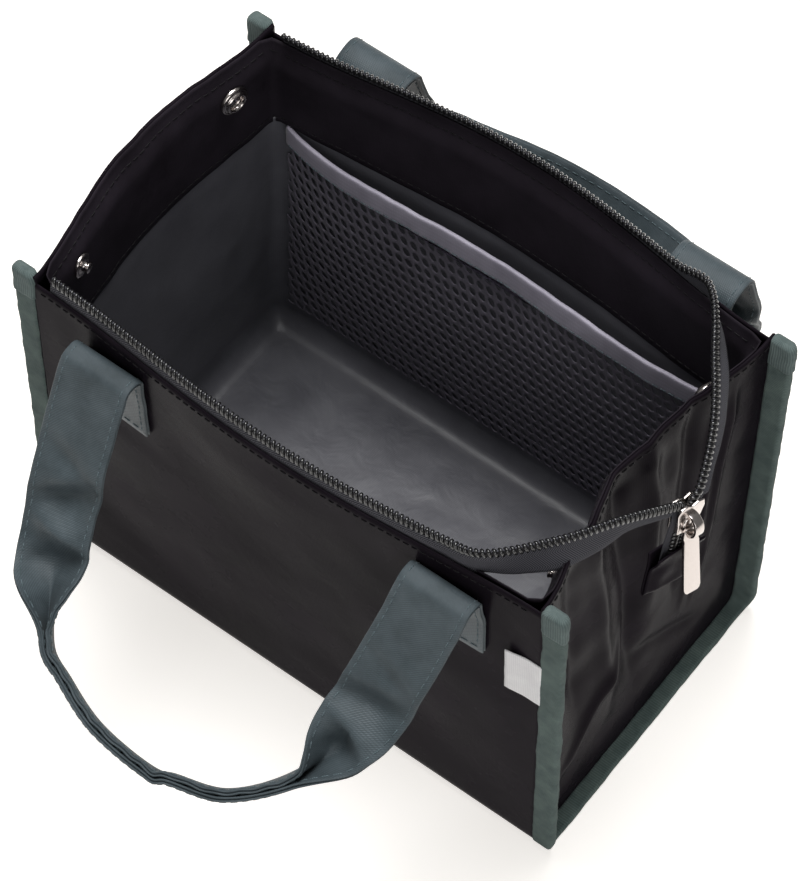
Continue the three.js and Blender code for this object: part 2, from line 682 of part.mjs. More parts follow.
addPiece('zip_end_tab', tabBody, nylon, sliderGroup);

// Handles
const tabRows = 3;
const tiltSteps = 24;
const routeSteps = 3; // sections between two points of the plan
function addHandle(side, fold) {
  const name = wallNames[side];
  const inner = -layerGap;
  const outer = -layerGap - strapThickness;
  const centre = strapSpacing / 2;
  for (const hand of [-1, 1]) {
    const low = hand * centre - strapWidth / 2;
    const top = fold.height + tabRise;
    const tab = wallSheet(side, low, low + strapWidth, top - tabLength, top, tabRows, outer, inner);
    addPiece(`${name}_handle_tab_${sideNames[hand]}`, tab, strapCloth);
  }
  const seat = wallPoint(side, centre - strapWidth / 2, fold.height, outer).y;
  const hingeY = seat + side * (layerGap + fold.radius);

  // Side view: round the fold, straight down the leg, then easing to the grip's slope
  const midRadius = fold.radius - strapThickness / 2;
  const legTilt = rad(fold.legTilt);
  const startTurn = Math.PI / 2 - legTilt;
  const foldArc = rad(foldEnd) - startTurn;
  const foldRun = foldArc * midRadius;
  const tiltAt = (reach) => {
    const eased = THREE.MathUtils.smoothstep(reach, tiltRun[0], tiltRun[1]);
    return THREE.MathUtils.lerp(legTilt, rad(fold.gripTilt), eased);
  };
  function profile(reach) {
    const turn = startTurn - Math.min(reach, 0) / midRadius;
    const at = { out: midRadius * Math.cos(turn), up: midRadius * Math.sin(turn) };
    at.tilt = Math.PI / 2 - turn;
    for (let i = 0; i < tiltSteps && reach > 0; i += 1) {
      const tilt = tiltAt(((i + 0.5) * reach) / tiltSteps);
      at.out += (Math.cos(tilt) * reach) / tiltSteps;
      at.up -= (Math.sin(tilt) * reach) / tiltSteps;
      at.tilt = tilt;
    }
    return at;
  }

  // Plan of the strap on that surface, from the left end to the right end
  const overFold = [[1, -foldRun], [1, -foldRun / 2], [1, 0]];
  const onPlan = (hand) => ([share, reach]) => vec(hand * share * centre, reach, 0);
  const route = [
    ...[...overFold, ...fold.left].map(onPlan(-1)),
    onPlan(1)(fold.middle),
    ...[...overFold, ...fold.right].map(onPlan(1)).reverse(),
  ];
  const plan = new THREE.CatmullRomCurve3(route, false, 'centripetal');
  const steps = routeSteps * (route.length - 1);
  const sections = [];
  for (let i = 0; i <= steps; i += 1) {
    const p = plan.getPoint(i / steps);
    const slope = plan.getTangent(i / steps);
    const { out, up, tilt } = profile(p.y);
    const at = vec(p.x, hingeY + side * out, fold.height + up);
    const downhill = vec(0, side * Math.cos(tilt), -Math.sin(tilt));
    const run = vec(slope.x, 0, 0).addScaledVector(downhill, slope.y).normalize();
    const leg = i < steps / 2 ? fold.left : fold.right;
    const pinch = leg[pinchPlace][1];
    const shut = THREE.MathUtils.smoothstep(p.y, pinch - foldLength, pinch);
    const normal = vec(shut * Math.tan(rad(fold.gripLean)), side * Math.sin(tilt), Math.cos(tilt));
    normal.addScaledVector(run, -normal.dot(run)).normalize();
    const across = normal.clone().cross(run).multiplyScalar(-side);
    const place = ([s, n]) => at.clone().addScaledVector(across, s).addScaledVector(normal, n);
    sections.push(strapSection(shut).map(place));
  }
  addPiece(`${name}_handle_strap`, loft(sections), strapCloth);
}

// Cross-section of the strap: flat when shut is 0, folded in half when shut is 1
function strapSection(shut) {
  const turn = (shut * Math.PI) / 2;
  const half = strapThickness / 2;
  const root = THREE.MathUtils.lerp(half, half + gripGap / 2, shut);
  const reach = strapWidth / 2 - root;
  const along = [Math.cos(turn), Math.sin(turn)];
  const inwards = [-Math.sin(turn), Math.cos(turn)];
  const tip = (lift) => [root + along[0] * reach + inwards[0] * lift, along[1] * reach + inwards[1] * lift];
  const right = [[root + half * shut, -half], tip(-half), tip(half), [root - half * shut, half]];
  return [...right, ...right.map(([s, n]) => [-s, n]).reverse()];
}

addHandle(-1, frontFold);
addHandle(1, backFold);

// Blank label, sewn into the front right seam
const labelRows = 2;
const labelLow = halfWidth - labelWidth;
const labelTop = labelBottom + labelHeight;
const labelFace = -layerGap - labelThickness;
const labelBody = wallSheet(-1, labelLow, halfWidth, labelBottom, labelTop, labelRows, labelFace, -layerGap);
addPiece('side_label', labelBody, labelCloth);

export default bag;
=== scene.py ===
import bisect
import math

import bmesh
import bpy
from mathutils import Matrix, Vector, noise


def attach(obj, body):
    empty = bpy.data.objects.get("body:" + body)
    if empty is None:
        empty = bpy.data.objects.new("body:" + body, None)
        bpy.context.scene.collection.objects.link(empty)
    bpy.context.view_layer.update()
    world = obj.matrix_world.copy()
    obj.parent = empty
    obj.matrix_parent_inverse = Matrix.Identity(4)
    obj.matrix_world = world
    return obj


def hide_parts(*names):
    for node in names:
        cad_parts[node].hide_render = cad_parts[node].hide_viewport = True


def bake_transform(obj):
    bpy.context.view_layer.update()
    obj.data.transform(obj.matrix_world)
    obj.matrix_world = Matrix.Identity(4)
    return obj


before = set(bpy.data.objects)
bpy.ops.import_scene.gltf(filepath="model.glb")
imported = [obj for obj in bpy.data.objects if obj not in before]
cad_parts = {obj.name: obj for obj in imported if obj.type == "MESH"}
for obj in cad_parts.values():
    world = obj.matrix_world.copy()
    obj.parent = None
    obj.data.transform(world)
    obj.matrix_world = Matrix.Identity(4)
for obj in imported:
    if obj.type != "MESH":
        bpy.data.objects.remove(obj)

scene = bpy.context.scene
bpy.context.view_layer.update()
mm = 0.001  # pieces are drawn in mm and shrunk to metres as they are finished

# The bag as it stands, open and slack, in mm
bag = {
    "halfWidth": 125.0,
    "halfDepth": 74.0,
    "rim": 200.0,
    "gusset": 203.0,  # top edge of a side panel at its corners
    "gussetDip": 1.0,
    "fold": 8.0,  # radius where a wall turns into the base
    "frontSpread": 1.0,
    "backSpread": 6.0,
    "frontBow": 7.5,
    "backBow": 13.0,
    "leftBow": 11.0,
    "rightBow": -12.0,
    "bowRise": 1.6,
    "lining": 6.0,  # inner face of the lining, behind the outer face
    "facing": 50.0,  # height of the facing below the rim
    # unevenness is in layers: height, size, stretch along its second direction, seed
    "drape": [(1.3, 70, 1, 2.0), (0.3, 27, 1, 5.0)],
    "pucker": [(0.45, 6, 1, 1.0), (0.5, 21, 1, 2.0)],
    "heldFoot": (5, 45), "heldSeam": (0, 22), "heldRim": (2, 30),  # where wall cloth comes free of its edges
    "tabSpot": (83.0, 165.0), "tabHalf": (17.0, 24.0), "tabEase": 18.0,  # flat under the handle tabs
}
wallRun = bag["rim"] - bag["fold"]
foldRun = bag["fold"] * math.pi / 2
baseRun = 2 * (bag["halfDepth"] - bag["fold"])
wrapRun = 2 * wallRun + 2 * foldRun + baseRun  # front rim to back rim, round the base
sideNames = {-1: "Left", 1: "Right"}
wallNames = {-1: "Front", 1: "Back"}


def ease(low, high, value):  # smooth step from 0 at low to 1 at high
    t = min(max((value - low) / (high - low), 0.0), 1.0)
    return t * t * (3 - 2 * t)


def mix(a, b, t):
    return a + (b - a) * t


def rounding(share):  # rises from 0 to 1 along a quarter of a circle
    return math.sqrt(max(1 - (1 - min(share, 1.0)) ** 2, 0.0))


def swell(size, x, y, seed=0.0):  # soft repeatable unevenness, about -1 to 1, size in mm
    return noise.noise(Vector((x / size, y / size, seed)))


def uneven(layers, x, y, shift=0):
    return sum(high * swell(size, x, y * stretch, seed + shift) for high, size, stretch, seed in layers)


def settle(x, y, z):  # the upright box, leaned and bowed the way the slack walls stand
    high = max(z, 0.0) / bag["rim"]
    fx = min(max(x / bag["halfWidth"], -1.0), 1.0)
    fy = min(max(y / bag["halfDepth"], -1.0), 1.0)
    rise = high ** bag["bowRise"]
    sideBow = bag["rightBow"] if x > 0 else -bag["leftBow"]
    wallBow = bag["backBow"] if y > 0 else -bag["frontBow"]
    lean = bag["backSpread"] if y > 0 else bag["frontSpread"]
    return Vector((
        x + sideBow * (1 - fy * fy) ** 2 * rise,
        y + lean * fy * high + wallBow * (1 - fx * fx) ** 2 * rise,
        z,
    ))


def wallAt(side, x, z, lift=0.0):  # on the front (-1) or back (1) wall, lift outwards
    return settle(x, side * (bag["halfDepth"] + lift), z)


def drape(side, x, z):  # how far the wall cloth stands off its padding
    hold = ease(*bag["heldFoot"], z) * ease(*bag["heldSeam"], bag["halfWidth"] - abs(x))
    hold *= ease(*bag["heldRim"], bag["rim"] - z)
    (tabX, tabZ), (halfX, halfZ) = bag["tabSpot"], bag["tabHalf"]
    hold *= ease(0, bag["tabEase"], max(abs(abs(x) - tabX) - halfX, abs(z - tabZ) - halfZ))
    return uneven(bag["drape"], x, z, side) * hold


def outerAt(side, x, z, lift=0.0):
    return wallAt(side, x, z, lift + drape(side, x, z))


def gussetTop(y):
    dip = bag["gussetDip"] * (1 - (y / bag["halfDepth"]) ** 2)
    return bag["gusset"] - dip + uneven(bag["pucker"], y, 0)


def wrapAt(s, x, lift=0.0):  # s runs from the front rim round the base to the back rim
    inset = bag["halfDepth"] - bag["fold"]
    radius = bag["fold"] + lift
    if s < wallRun:
        return outerAt(-1, x, bag["rim"] - s, lift)
    s -= wallRun
    if s < foldRun:
        turn = s / bag["fold"]
        return settle(x, -inset - radius * math.cos(turn), bag["fold"] - radius * math.sin(turn))
    s -= foldRun
    if s < baseRun:
        return settle(x, -inset + s, -lift)
    s -= baseRun
    if s < foldRun:
        turn = s / bag["fold"]
        return settle(x, inset + radius * math.sin(turn), bag["fold"] - radius * math.cos(turn))
    return outerAt(1, x, bag["fold"] + s - foldRun, lift)


def roundAt(hx, hy, corner, d):  # d along a rounded rectangle: place, and the way out of it
    quarter = corner * math.pi / 2
    legs = ((-hx, -hy, 1, 0, hx), (hx, -hy, 0, 1, hy), (hx, hy, -1, 0, hx), (-hx, hy, 0, -1, hy))
    for px, py, dx, dy, half in legs:
        run = 2 * half
        if d <= run:
            return px + dx * d + dy * corner, py + dy * d - dx * corner, dy, -dx
        d -= run
        if d <= quarter:
            turn = d / corner
            nx = dy * math.cos(turn) + dx * math.sin(turn)
            ny = -dx * math.cos(turn) + dy * math.sin(turn)
            return px + dx * run + nx * corner, py + dy * run + ny * corner, nx, ny
        d -= quarter
    return -hx, -hy - corner, 0.0, -1.0


def ringAt(share, depth, corner):  # once round the inside: place, inward direction, distance
    hx = bag["halfWidth"] - depth - corner
    hy = bag["halfDepth"] - depth - corner
    along = share * (4 * hx + 4 * hy + 2 * math.pi * corner) if share < 1.0 else 0.0
    x, y, nx, ny = roundAt(hx, hy, corner, along)
    return x, y, -nx, -ny, along


def routeAt(points, along):  # smooth curve through points, with its direction
    i = min(int(along), len(points) - 2)
    t = along - i
    b, c = points[i], points[i + 1]
    a = points[i - 1] if i else b * 2 - c
    d = points[i + 2] if i + 2 < len(points) else c * 2 - b
    ab, bc, cd = ((q - p).length ** 0.5 for p, q in ((a, b), (b, c), (c, d)))
    leave = ((b - a) / ab - (c - a) / (ab + bc) + (c - b) / bc) * bc
    arrive = ((c - b) / bc - (d - b) / (bc + cd) + (d - c) / cd) * bc
    cube = b * 2 - c * 2 + leave + arrive
    square = c * 3 - b * 3 - leave * 2 - arrive
    at = b + leave * t + square * t * t + cube * t ** 3
    return at, (leave + square * 2 * t + cube * 3 * t * t).normalized()


def spanAt(runs, run):  # the last mark at or before run, and the share of the way to the next
    low = min(max(bisect.bisect_right(runs, run) - 1, 0), len(runs) - 2)
    return low, (run - runs[low]) / max(runs[low + 1] - runs[low], 1e-6)


# Materials

def srgb(code):
    parts = [int(code[i:i + 2], 16) / 255 for i in (1, 3, 5)]
    return tuple(c / 12.92 if c <= 0.04045 else ((c + 0.055) / 1.055) ** 2.4 for c in parts) + (1.0,)


def addNode(tree, kind, links=None, **settings):
    node = tree.nodes.new(kind)
    for key, value in settings.items():
        setattr(node, key, value)
    for key, value in (links or {}).items():
        if isinstance(value, bpy.types.NodeSocket):
            tree.links.new(value, node.inputs[key])
        else:
            node.inputs[key].default_value = value
    return node


def newMaterial(name, **fixed):
    material = bpy.data.materials.new(name)
    material.use_nodes = True
    tree = material.node_tree
    shader = tree.nodes["Principled BSDF"]
    for key, value in fixed.items():
        shader.inputs[key.replace("_", " ")].default_value = value
    return material, tree, shader


def joinShader(tree, shader, colour, rough, bump=None):
    tree.links.new(colour.outputs[2], shader.inputs["Base Color"])
    tree.links.new(rough.outputs["Result"], shader.inputs["Roughness"])
    if bump is not None:
        tree.links.new(bump.outputs["Normal"], shader.inputs["Normal"])


def bandScale(periodMm):  # a band texture repeats every 0.314 / scale metres
    return 0.314 / (periodMm * mm)


def plainWeave(name, look):
    material, tree, shader = newMaterial(
        name, Sheen_Weight=look["sheen"], Sheen_Roughness=0.35, Specular_IOR_Level=look["gloss"])
    uv = addNode(tree, "ShaderNodeUVMap", uv_map="cloth").outputs["UV"]
    place = addNode(tree, "ShaderNodeTexCoord").outputs["Object"]
    threads = {"Vector": uv, "Scale": bandScale(look["thread"]), "Distortion": 0.4, "Detail Scale": 3.0}
    warp = addNode(tree, "ShaderNodeTexWave", threads, bands_direction="X").outputs["Fac"]
    weft = addNode(tree, "ShaderNodeTexWave", threads, bands_direction="Y").outputs["Fac"]
    weave = addNode(tree, "ShaderNodeMath", {0: warp, 1: weft}, operation="MULTIPLY").outputs[0]
    cloud = addNode(tree, "ShaderNodeTexNoise", {
        "Vector": place, "Scale": 1 / (look["cloud"] * mm), "Detail": 4.0, "Roughness": 0.6,
    }).outputs["Fac"]
    crease = addNode(tree, "ShaderNodeTexNoise", {
        "Vector": place, "Scale": 1 / (look["crease"] * mm), "Detail": 3.0, "Distortion": 0.6,
    }).outputs["Fac"]
    patches = {"Value": cloud, "From Min": 0.3, "From Max": 0.7}
    tone = addNode(tree, "ShaderNodeMapRange", patches).outputs["Result"]
    shades = {0: tone, 6: srgb(look["dark"]), 7: srgb(look["light"])}
    shade = addNode(tree, "ShaderNodeMix", shades, data_type="RGBA").outputs[2]
    glints = {"Value": weave, "To Min": 0.86, "To Max": 1.06}
    lit = addNode(tree, "ShaderNodeMapRange", glints).outputs["Result"]
    tinted = {0: 1.0, 6: shade, 7: lit}
    colour = addNode(tree, "ShaderNodeMix", tinted, data_type="RGBA", blend_type="MULTIPLY")
    smooth, dull = look["rough"]
    rough = addNode(tree, "ShaderNodeMapRange", {**patches, "To Min": smooth, "To Max": dull})
    rucks = {"Strength": look["creaseBump"], "Distance": 0.0008, "Height": crease}
    soft = addNode(tree, "ShaderNodeBump", rucks).outputs["Normal"]
    bump = addNode(tree, "ShaderNodeBump", {
        "Strength": look["weaveBump"], "Distance": 0.00012, "Height": weave, "Normal": soft,
    })
    joinShader(tree, shader, colour, rough, bump)
    return material


# Coated nylon taffeta, woven fine and pressed: near black with a faint warm cast and broad soft gloss.
# Its 0.25 mm threads are drawn at 0.7 mm so that they show.
outerNylon = plainWeave("coatedNylonTaffeta", {
    "dark": "#161217", "light": "#241f25", "thread": 0.7, "cloud": 42, "crease": 16,
    "rough": (0.18, 0.32), "gloss": 0.009, "sheen": 0.0, "creaseBump": 0.22, "weaveBump": 0.16,
})
# The same cloth uncoated, as facing: duller and a shade paler
facingNylon = plainWeave("nylonFacingCloth", {
    "dark": "#231f24", "light": "#302b32", "thread": 0.7, "cloud": 30, "crease": 11,
    "rough": (0.4, 0.55), "gloss": 0.05, "sheen": 0.0, "creaseBump": 0.35, "weaveBump": 0.2,
})
# Polyester lining with a wiped-on waterproof film: mid grey, satin, creased where it is slack
liningSatin = plainWeave("filmedPolyesterLining", {
    "dark": "#55555b", "light": "#69696f", "thread": 0.8, "cloud": 34, "crease": 13,
    "rough": (0.32, 0.44), "gloss": 0.4, "sheen": 0.05, "creaseBump": 0.5, "weaveBump": 0.1,
})
# Satin bias binding on the pocket mouth: grey with a violet cast, soft lustre
hemSatin = plainWeave("satinBiasBinding", {
    "dark": "#9c97a5", "light": "#b6b1bf", "thread": 0.8, "cloud": 16, "crease": 7,
    "rough": (0.36, 0.5), "gloss": 0.4, "sheen": 0.15, "creaseBump": 0.35, "weaveBump": 0.12,
})
# Woven satin label cloth, left blank: white, a little uneven from its fold
labelSatin = plainWeave("wovenLabelSatin", {
    "dark": "#eeecee", "light": "#fbfafa", "thread": 0.8, "cloud": 9, "crease": 8,
    "rough": (0.45, 0.6), "gloss": 0.3, "sheen": 0.1, "creaseBump": 0.25, "weaveBump": 0.2,
})


def ribbedCloth(name, look):
    material, tree, shader = newMaterial(
        name, Sheen_Weight=0.03, Sheen_Roughness=look["sheenRough"], Specular_IOR_Level=look["gloss"])
    uv = addNode(tree, "ShaderNodeUVMap", uv_map="cloth").outputs["UV"]
    place = addNode(tree, "ShaderNodeTexCoord").outputs["Object"]
    wander, wanderScale = look["wander"]
    ribs = {"Vector": uv, "Scale": bandScale(look["rib"]), "Distortion": wander, "Detail Scale": wanderScale}
    rib = addNode(tree, "ShaderNodeTexWave", ribs, bands_direction=look["way"]).outputs["Fac"]
    height = rib
    if "cross" in look:  # yarns that break up the rib
        yarns = {"Vector": uv, "Scale": bandScale(look["cross"]), "Distortion": 0.6}
        cross = addNode(tree, "ShaderNodeTexWave", yarns, bands_direction="Y").outputs["Fac"]
        height = addNode(tree, "ShaderNodeMath", {0: rib, 1: cross}, operation="MULTIPLY").outputs[0]
    wear, detail, harsh = look["wear"]
    worn = addNode(tree, "ShaderNodeTexNoise", {
        "Vector": place, "Scale": 1 / (wear * mm), "Detail": detail, "Roughness": harsh,
    }).outputs["Fac"]
    low, high = look["wearRange"]
    patches = {"Value": worn, "From Min": low, "From Max": high}
    tone = addNode(tree, "ShaderNodeMapRange", patches).outputs["Result"]
    shades = {0: tone, 6: srgb(look["dark"]), 7: srgb(look["light"])}
    shade = addNode(tree, "ShaderNodeMix", shades, data_type="RGBA").outputs[2]
    glints = {"Value": rib, "To Min": look["groove"], "To Max": 1.12}
    lit = addNode(tree, "ShaderNodeMapRange", glints).outputs["Result"]
    tinted = {0: 1.0, 6: shade, 7: lit}
    colour = addNode(tree, "ShaderNodeMix", tinted, data_type="RGBA", blend_type="MULTIPLY")
    smooth, dull = look["rough"]
    guide = rib if look["roughBy"] == "rib" else worn
    rough = addNode(tree, "ShaderNodeMapRange", {"Value": guide, "To Min": smooth, "To Max": dull})
    strength, distance = look["bump"]
    bump = addNode(tree, "ShaderNodeBump", {"Strength": strength, "Distance": distance, "Height": height})
    joinShader(tree, shader, colour, rough, bump)
    return material


# Polyester twill strapping, sewn double: a steep diagonal rib, dull with a slight lustre on the ribs.
# The 0.4 mm rib is drawn at 0.9 mm, halved because a diagonal band repeats at twice the distance.
strapTwill = ribbedCloth("polyesterTwillStrap", {
    "dark": "#3c4549", "light": "#545e63", "rib": 0.9 / 2, "wander": (0.5, 2.0), "way": "DIAGONAL",
    "cross": 0.8, "wear": (22, 5.0, 0.65), "wearRange": (0.3, 0.7), "groove": 0.8, "roughBy": "rib",
    "rough": (0.52, 0.42), "bump": (0.4, 0.0002), "gloss": 0.22, "sheenRough": 0.4,
})
# Grosgrain ribbon: ribs straight across, dull grey green, paler where the ribs catch light
grosgrain = {
    "dark": "#4d5a58", "light": "#677571", "rib": 1.1, "wander": (0.7, 1.5), "way": "Y",
    "wear": (9, 6.0, 0.7), "wearRange": (0.32, 0.68), "groove": 0.78, "roughBy": "worn",
    "rough": (0.6, 0.8), "bump": (0.45, 0.0003), "gloss": 0.05, "sheenRough": 0.5,
}
bindingGrosgrain = ribbedCloth("polyesterGrosgrain", grosgrain)
# The scraps over the ends are the same ribbon cut across, the ribs running up and down; painted paler than
# the ribbon, a painted highlight on the upturned ends
litGrosgrainEnds = {**grosgrain, "dark": "#566362", "light": "#707d7b", "way": "X"}
litCapGrosgrain = ribbedCloth("polyesterGrosgrainEnds", litGrosgrainEnds)

# Zip tape: herringbone polyester, near black and quite matt, chevrons about 5 mm wide; the ribs are painted
# paler, a painted highlight where they catch the light
zipTwill, tree, shader = newMaterial(
    "herringbonePolyesterTape", Sheen_Weight=0.03, Sheen_Roughness=0.5, Specular_IOR_Level=0.12)
uv = addNode(tree, "ShaderNodeUVMap", uv_map="cloth").outputs["UV"]
split = addNode(tree, "ShaderNodeSeparateXYZ", {"Vector": uv}).outputs
zigzag = addNode(tree, "ShaderNodeMath", {0: split["X"], 1: 5 * mm}, operation="PINGPONG").outputs[0]
slant = addNode(tree, "ShaderNodeMath", {0: zigzag, 1: split["Y"]}, operation="ADD").outputs[0]
joined = addNode(tree, "ShaderNodeCombineXYZ", {"X": slant}).outputs["Vector"]
chevrons = {"Vector": joined, "Scale": bandScale(1.0)}
rib = addNode(tree, "ShaderNodeTexWave", chevrons, bands_direction="X").outputs["Fac"]
# paler ribs: painted highlight on the herringbone
shade = addNode(tree, "ShaderNodeMix", {0: rib, 6: srgb("#252429"), 7: srgb("#5a5a60")}, data_type="RGBA")
rough = addNode(tree, "ShaderNodeMapRange", {"Value": rib, "To Min": 0.8, "To Max": 0.62})
bump = addNode(tree, "ShaderNodeBump", {"Strength": 0.5, "Distance": 0.0002, "Height": rib})
joinShader(tree, shader, shade, rough, bump)


def mottled(name, look, **fixed):
    material, tree, shader = newMaterial(name, **fixed)
    place = addNode(tree, "ShaderNodeTexCoord").outputs["Object"]
    grain, detail, wander = look["grain"]
    mottle = addNode(tree, "ShaderNodeTexNoise", {
        "Vector": place, "Scale": 1 / (grain * mm), "Detail": detail, "Distortion": wander,
    }).outputs["Fac"]
    shades = {0: mottle, 6: srgb(look["dark"]), 7: srgb(look["light"])}
    shade = addNode(tree, "ShaderNodeMix", shades, data_type="RGBA")
    low, high, smooth, dull = look["rough"]
    rough = addNode(tree, "ShaderNodeMapRange", {
        "Value": mottle, "From Min": low, "From Max": high, "To Min": smooth, "To Max": dull,
    })
    bump = None
    if "bump" in look:
        strength, distance = look["bump"]
        bump = addNode(tree, "ShaderNodeBump", {"Strength": strength, "Distance": distance, "Height": mottle})
    joinShader(tree, shader, shade, rough, bump)
    return material


# Nylon monofilament, drawn and wound hot: glossy black with slight dulling from use
coilNylon = mottled("nylonMonofilament", {
    "dark": "#0b0b0c", "light": "#161617", "grain": (3, 3.0, 0.0), "rough": (0.0, 1.0, 0.2, 0.38),
}, IOR=1.53, Coat_Weight=0.6, Coat_Roughness=0.1)
# Nickel plate on die-cast zinc, barrel polished: bright, faintly warm, with fine handling marks
nickel = mottled("nickelPlatedZinc", {
    "dark": "#c0b8b4", "light": "#d2cbc7", "grain": (1.6, 5.0, 1.5), "rough": (0.3, 0.7, 0.14, 0.26),
    "bump": (0.04, 0.0001),
}, Metallic=1.0)
# Knitted polyester yarn of the net: grey with a violet cast, matt, fuzzy
netYarn = mottled("knittedPolyesterNet", {
    "dark": "#55515b", "light": "#6d6974", "grain": (1.2, 4.0, 0.0), "rough": (0.0, 1.0, 0.6, 0.85),
    "bump": (0.3, 0.0002),
}, Sheen_Weight=0.1, Sheen_Roughness=0.5, Specular_IOR_Level=0.2)


def spunThread(name, dark, light):
    material, tree, shader = newMaterial(
        name, Sheen_Weight=0.05, Sheen_Roughness=0.4, Specular_IOR_Level=0.2)
    place = addNode(tree, "ShaderNodeTexCoord").outputs["Object"]
    plies = {"Vector": place, "Scale": bandScale(0.7), "Distortion": 1.0}
    twist = addNode(tree, "ShaderNodeTexWave", plies, bands_direction="DIAGONAL").outputs["Fac"]
    shade = addNode(tree, "ShaderNodeMix", {0: twist, 6: srgb(dark), 7: srgb(light)}, data_type="RGBA")
    rough = addNode(tree, "ShaderNodeMapRange", {"Value": twist, "To Min": 0.5, "To Max": 0.7})
    joinShader(tree, shader, shade, rough)
    return material


# Two-ply polyester sewing thread, one dyed to the strap but paler, one black
strapThread = spunThread("polyesterThreadGreyGreen", "#4a575a", "#66747a")
blackThread = spunThread("polyesterThreadBlack", "#0c0b0d", "#161417")
print("materials made")


# Making and finishing pieces

def finishPiece(name, mesh, material, body, stands, thickness=0.0, offset=-1.0):
    mesh.materials.clear()
    mesh.materials.append(material)
    mesh.shade_smooth()
    piece = bpy.data.objects.new(name, mesh)
    scene.collection.objects.link(piece)
    if thickness:
        wall = piece.modifiers.new("clothThickness", "SOLIDIFY")
        wall.thickness = thickness * mm
        wall.offset = offset
    if body:
        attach(piece, body)
    if stands:
        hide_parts(*stands)
    return piece


def addPiece(name, bm, material, stands=(), body="bag", thickness=0.0, offset=-1.0):
    bmesh.ops.scale(bm, vec=(mm, mm, mm), verts=bm.verts)
    mesh = bpy.data.meshes.new(name)
    bm.to_mesh(mesh)
    bm.free()
    return finishPiece(name, mesh, material, body, stands, thickness, offset)


def layCloth(columns, rows, size, place, towards=0, closed=False):
    # a flat cut of cloth, its weave laid on it in metres, moved to where it hangs
    bm = bmesh.new()
    weave = bm.loops.layers.uv.new("cloth")
    bmesh.ops.create_grid(bm, x_segments=columns, y_segments=rows, size=0.5)
    for face in bm.faces:
        for loop in face.loops:
            co = loop.vert.co
            loop[weave].uv = ((co.x + 0.5) * size[0] * mm, (co.y + 0.5) * size[1] * mm)
    for vert in bm.verts:
        vert.co = place(vert.co.x + 0.5, vert.co.y + 0.5)
    if closed:
        bmesh.ops.remove_doubles(bm, verts=bm.verts, dist=0.001)
        bmesh.ops.dissolve_degenerate(bm, edges=bm.edges, dist=0.001)
    bm.normal_update()
    if towards:  # 1 shows the outside of the bag, -1 the inside
        middle = Vector((0, 0, bag["rim"] / 2))
        lean = sum(f.normal.dot(f.calc_center_median() - middle) * f.calc_area() for f in bm.faces)
        if lean * towards < 0:
            bmesh.ops.reverse_faces(bm, faces=bm.faces)
    return bm


def closeEnds(bm, above=-math.inf):  # fills a tube's open ends, or those above a height
    rims = [e for e in bm.edges if e.is_boundary and min(v.co.z for v in e.verts) > above]
    bmesh.ops.holes_fill(bm, edges=rims)
    bmesh.ops.recalc_face_normals(bm, faces=bm.faces)


def addThreads(name, runs, radius, material, stands=(), body="bag", sides=0):
    curve = bpy.data.curves.new(name, "CURVE")
    curve.dimensions = "3D"
    curve.bevel_depth = radius * mm
    curve.bevel_resolution = sides
    curve.use_fill_caps = True
    for run in runs:
        spline = curve.splines.new("POLY")
        spline.points.add(len(run) - 1)
        for point, at in zip(spline.points, run):
            point.co = (*(at * mm), 1.0)
    holder = bpy.data.objects.new(name + "Path", curve)
    scene.collection.objects.link(holder)
    bpy.context.view_layer.update()
    mesh = bpy.data.meshes.new_from_object(holder.evaluated_get(bpy.context.evaluated_depsgraph_get()))
    bpy.data.objects.remove(holder)
    bpy.data.curves.remove(curve)
    return finishPiece(name, mesh, material, body, stands)


thread = {
    "radius": 0.26, "strapRadius": 0.28,
    "path": [(0.0, -0.35), (0.12, 0.1), (0.88, 0.1), (1.0, -0.35)],  # share of the stitch, height
    "topstitch": {"stitch": 2.6, "gap": 1.2}, "clear": 0.12,
}


def stitchRuns(place, length, stitch=3.2, gap=1.4, start=0.0):  # place(a, lift) is the thread's path
    runs = []
    a = start
    while a + stitch <= length:
        runs.append([place(a + share * stitch, lift) for share, lift in thread["path"]])
        a += stitch + gap
    return runs


def turnedRun(piece):  # cloth used by a hem: over the edge and down inside
    return math.pi * piece["turnRadius"] + piece["turnIn"]


def turnOver(piece, over):  # past the edge by over: how far out, and how far up
    turn = min(over / piece["turnRadius"], math.pi)
    down = max(over - math.pi * piece["turnRadius"], 0.0)
    return -piece["turnRadius"] * (1 - math.cos(turn)), piece["turnRadius"] * math.sin(turn) - down


# Outer cloth: one cut for front, base and back, turned in over the rim
outer = {
    "columns": 104, "rows": 240, "edge": 1.0, "drop": 1.1,
    "turnRadius": 0.7, "turnIn": 6.0, "thickness": 0.6,
}


def outerPlace(u, v):
    x = mix(-1, 1, u) * (bag["halfWidth"] + outer["edge"])
    turned = turnedRun(outer)
    s = mix(outer["drop"] - turned, wrapRun - outer["drop"] + turned, v)
    over = max(outer["drop"] - s, s - wrapRun + outer["drop"])
    if over <= 0:
        return wrapAt(s, x)
    side = -1 if s < outer["drop"] else 1
    lift, up = turnOver(outer, over)
    return wallAt(side, x, bag["rim"] - outer["drop"], lift) + Vector((0, 0, up))


outerLength = wrapRun + 2 * (turnedRun(outer) - outer["drop"])
outerWidth = 2 * (bag["halfWidth"] + outer["edge"])
bm = layCloth(outer["columns"], outer["rows"], (outerWidth, outerLength), outerPlace, towards=1)
outerCloth = addPiece(
    "outerCloth", bm, outerNylon, ["outer_wrap"], thickness=outer["thickness"])

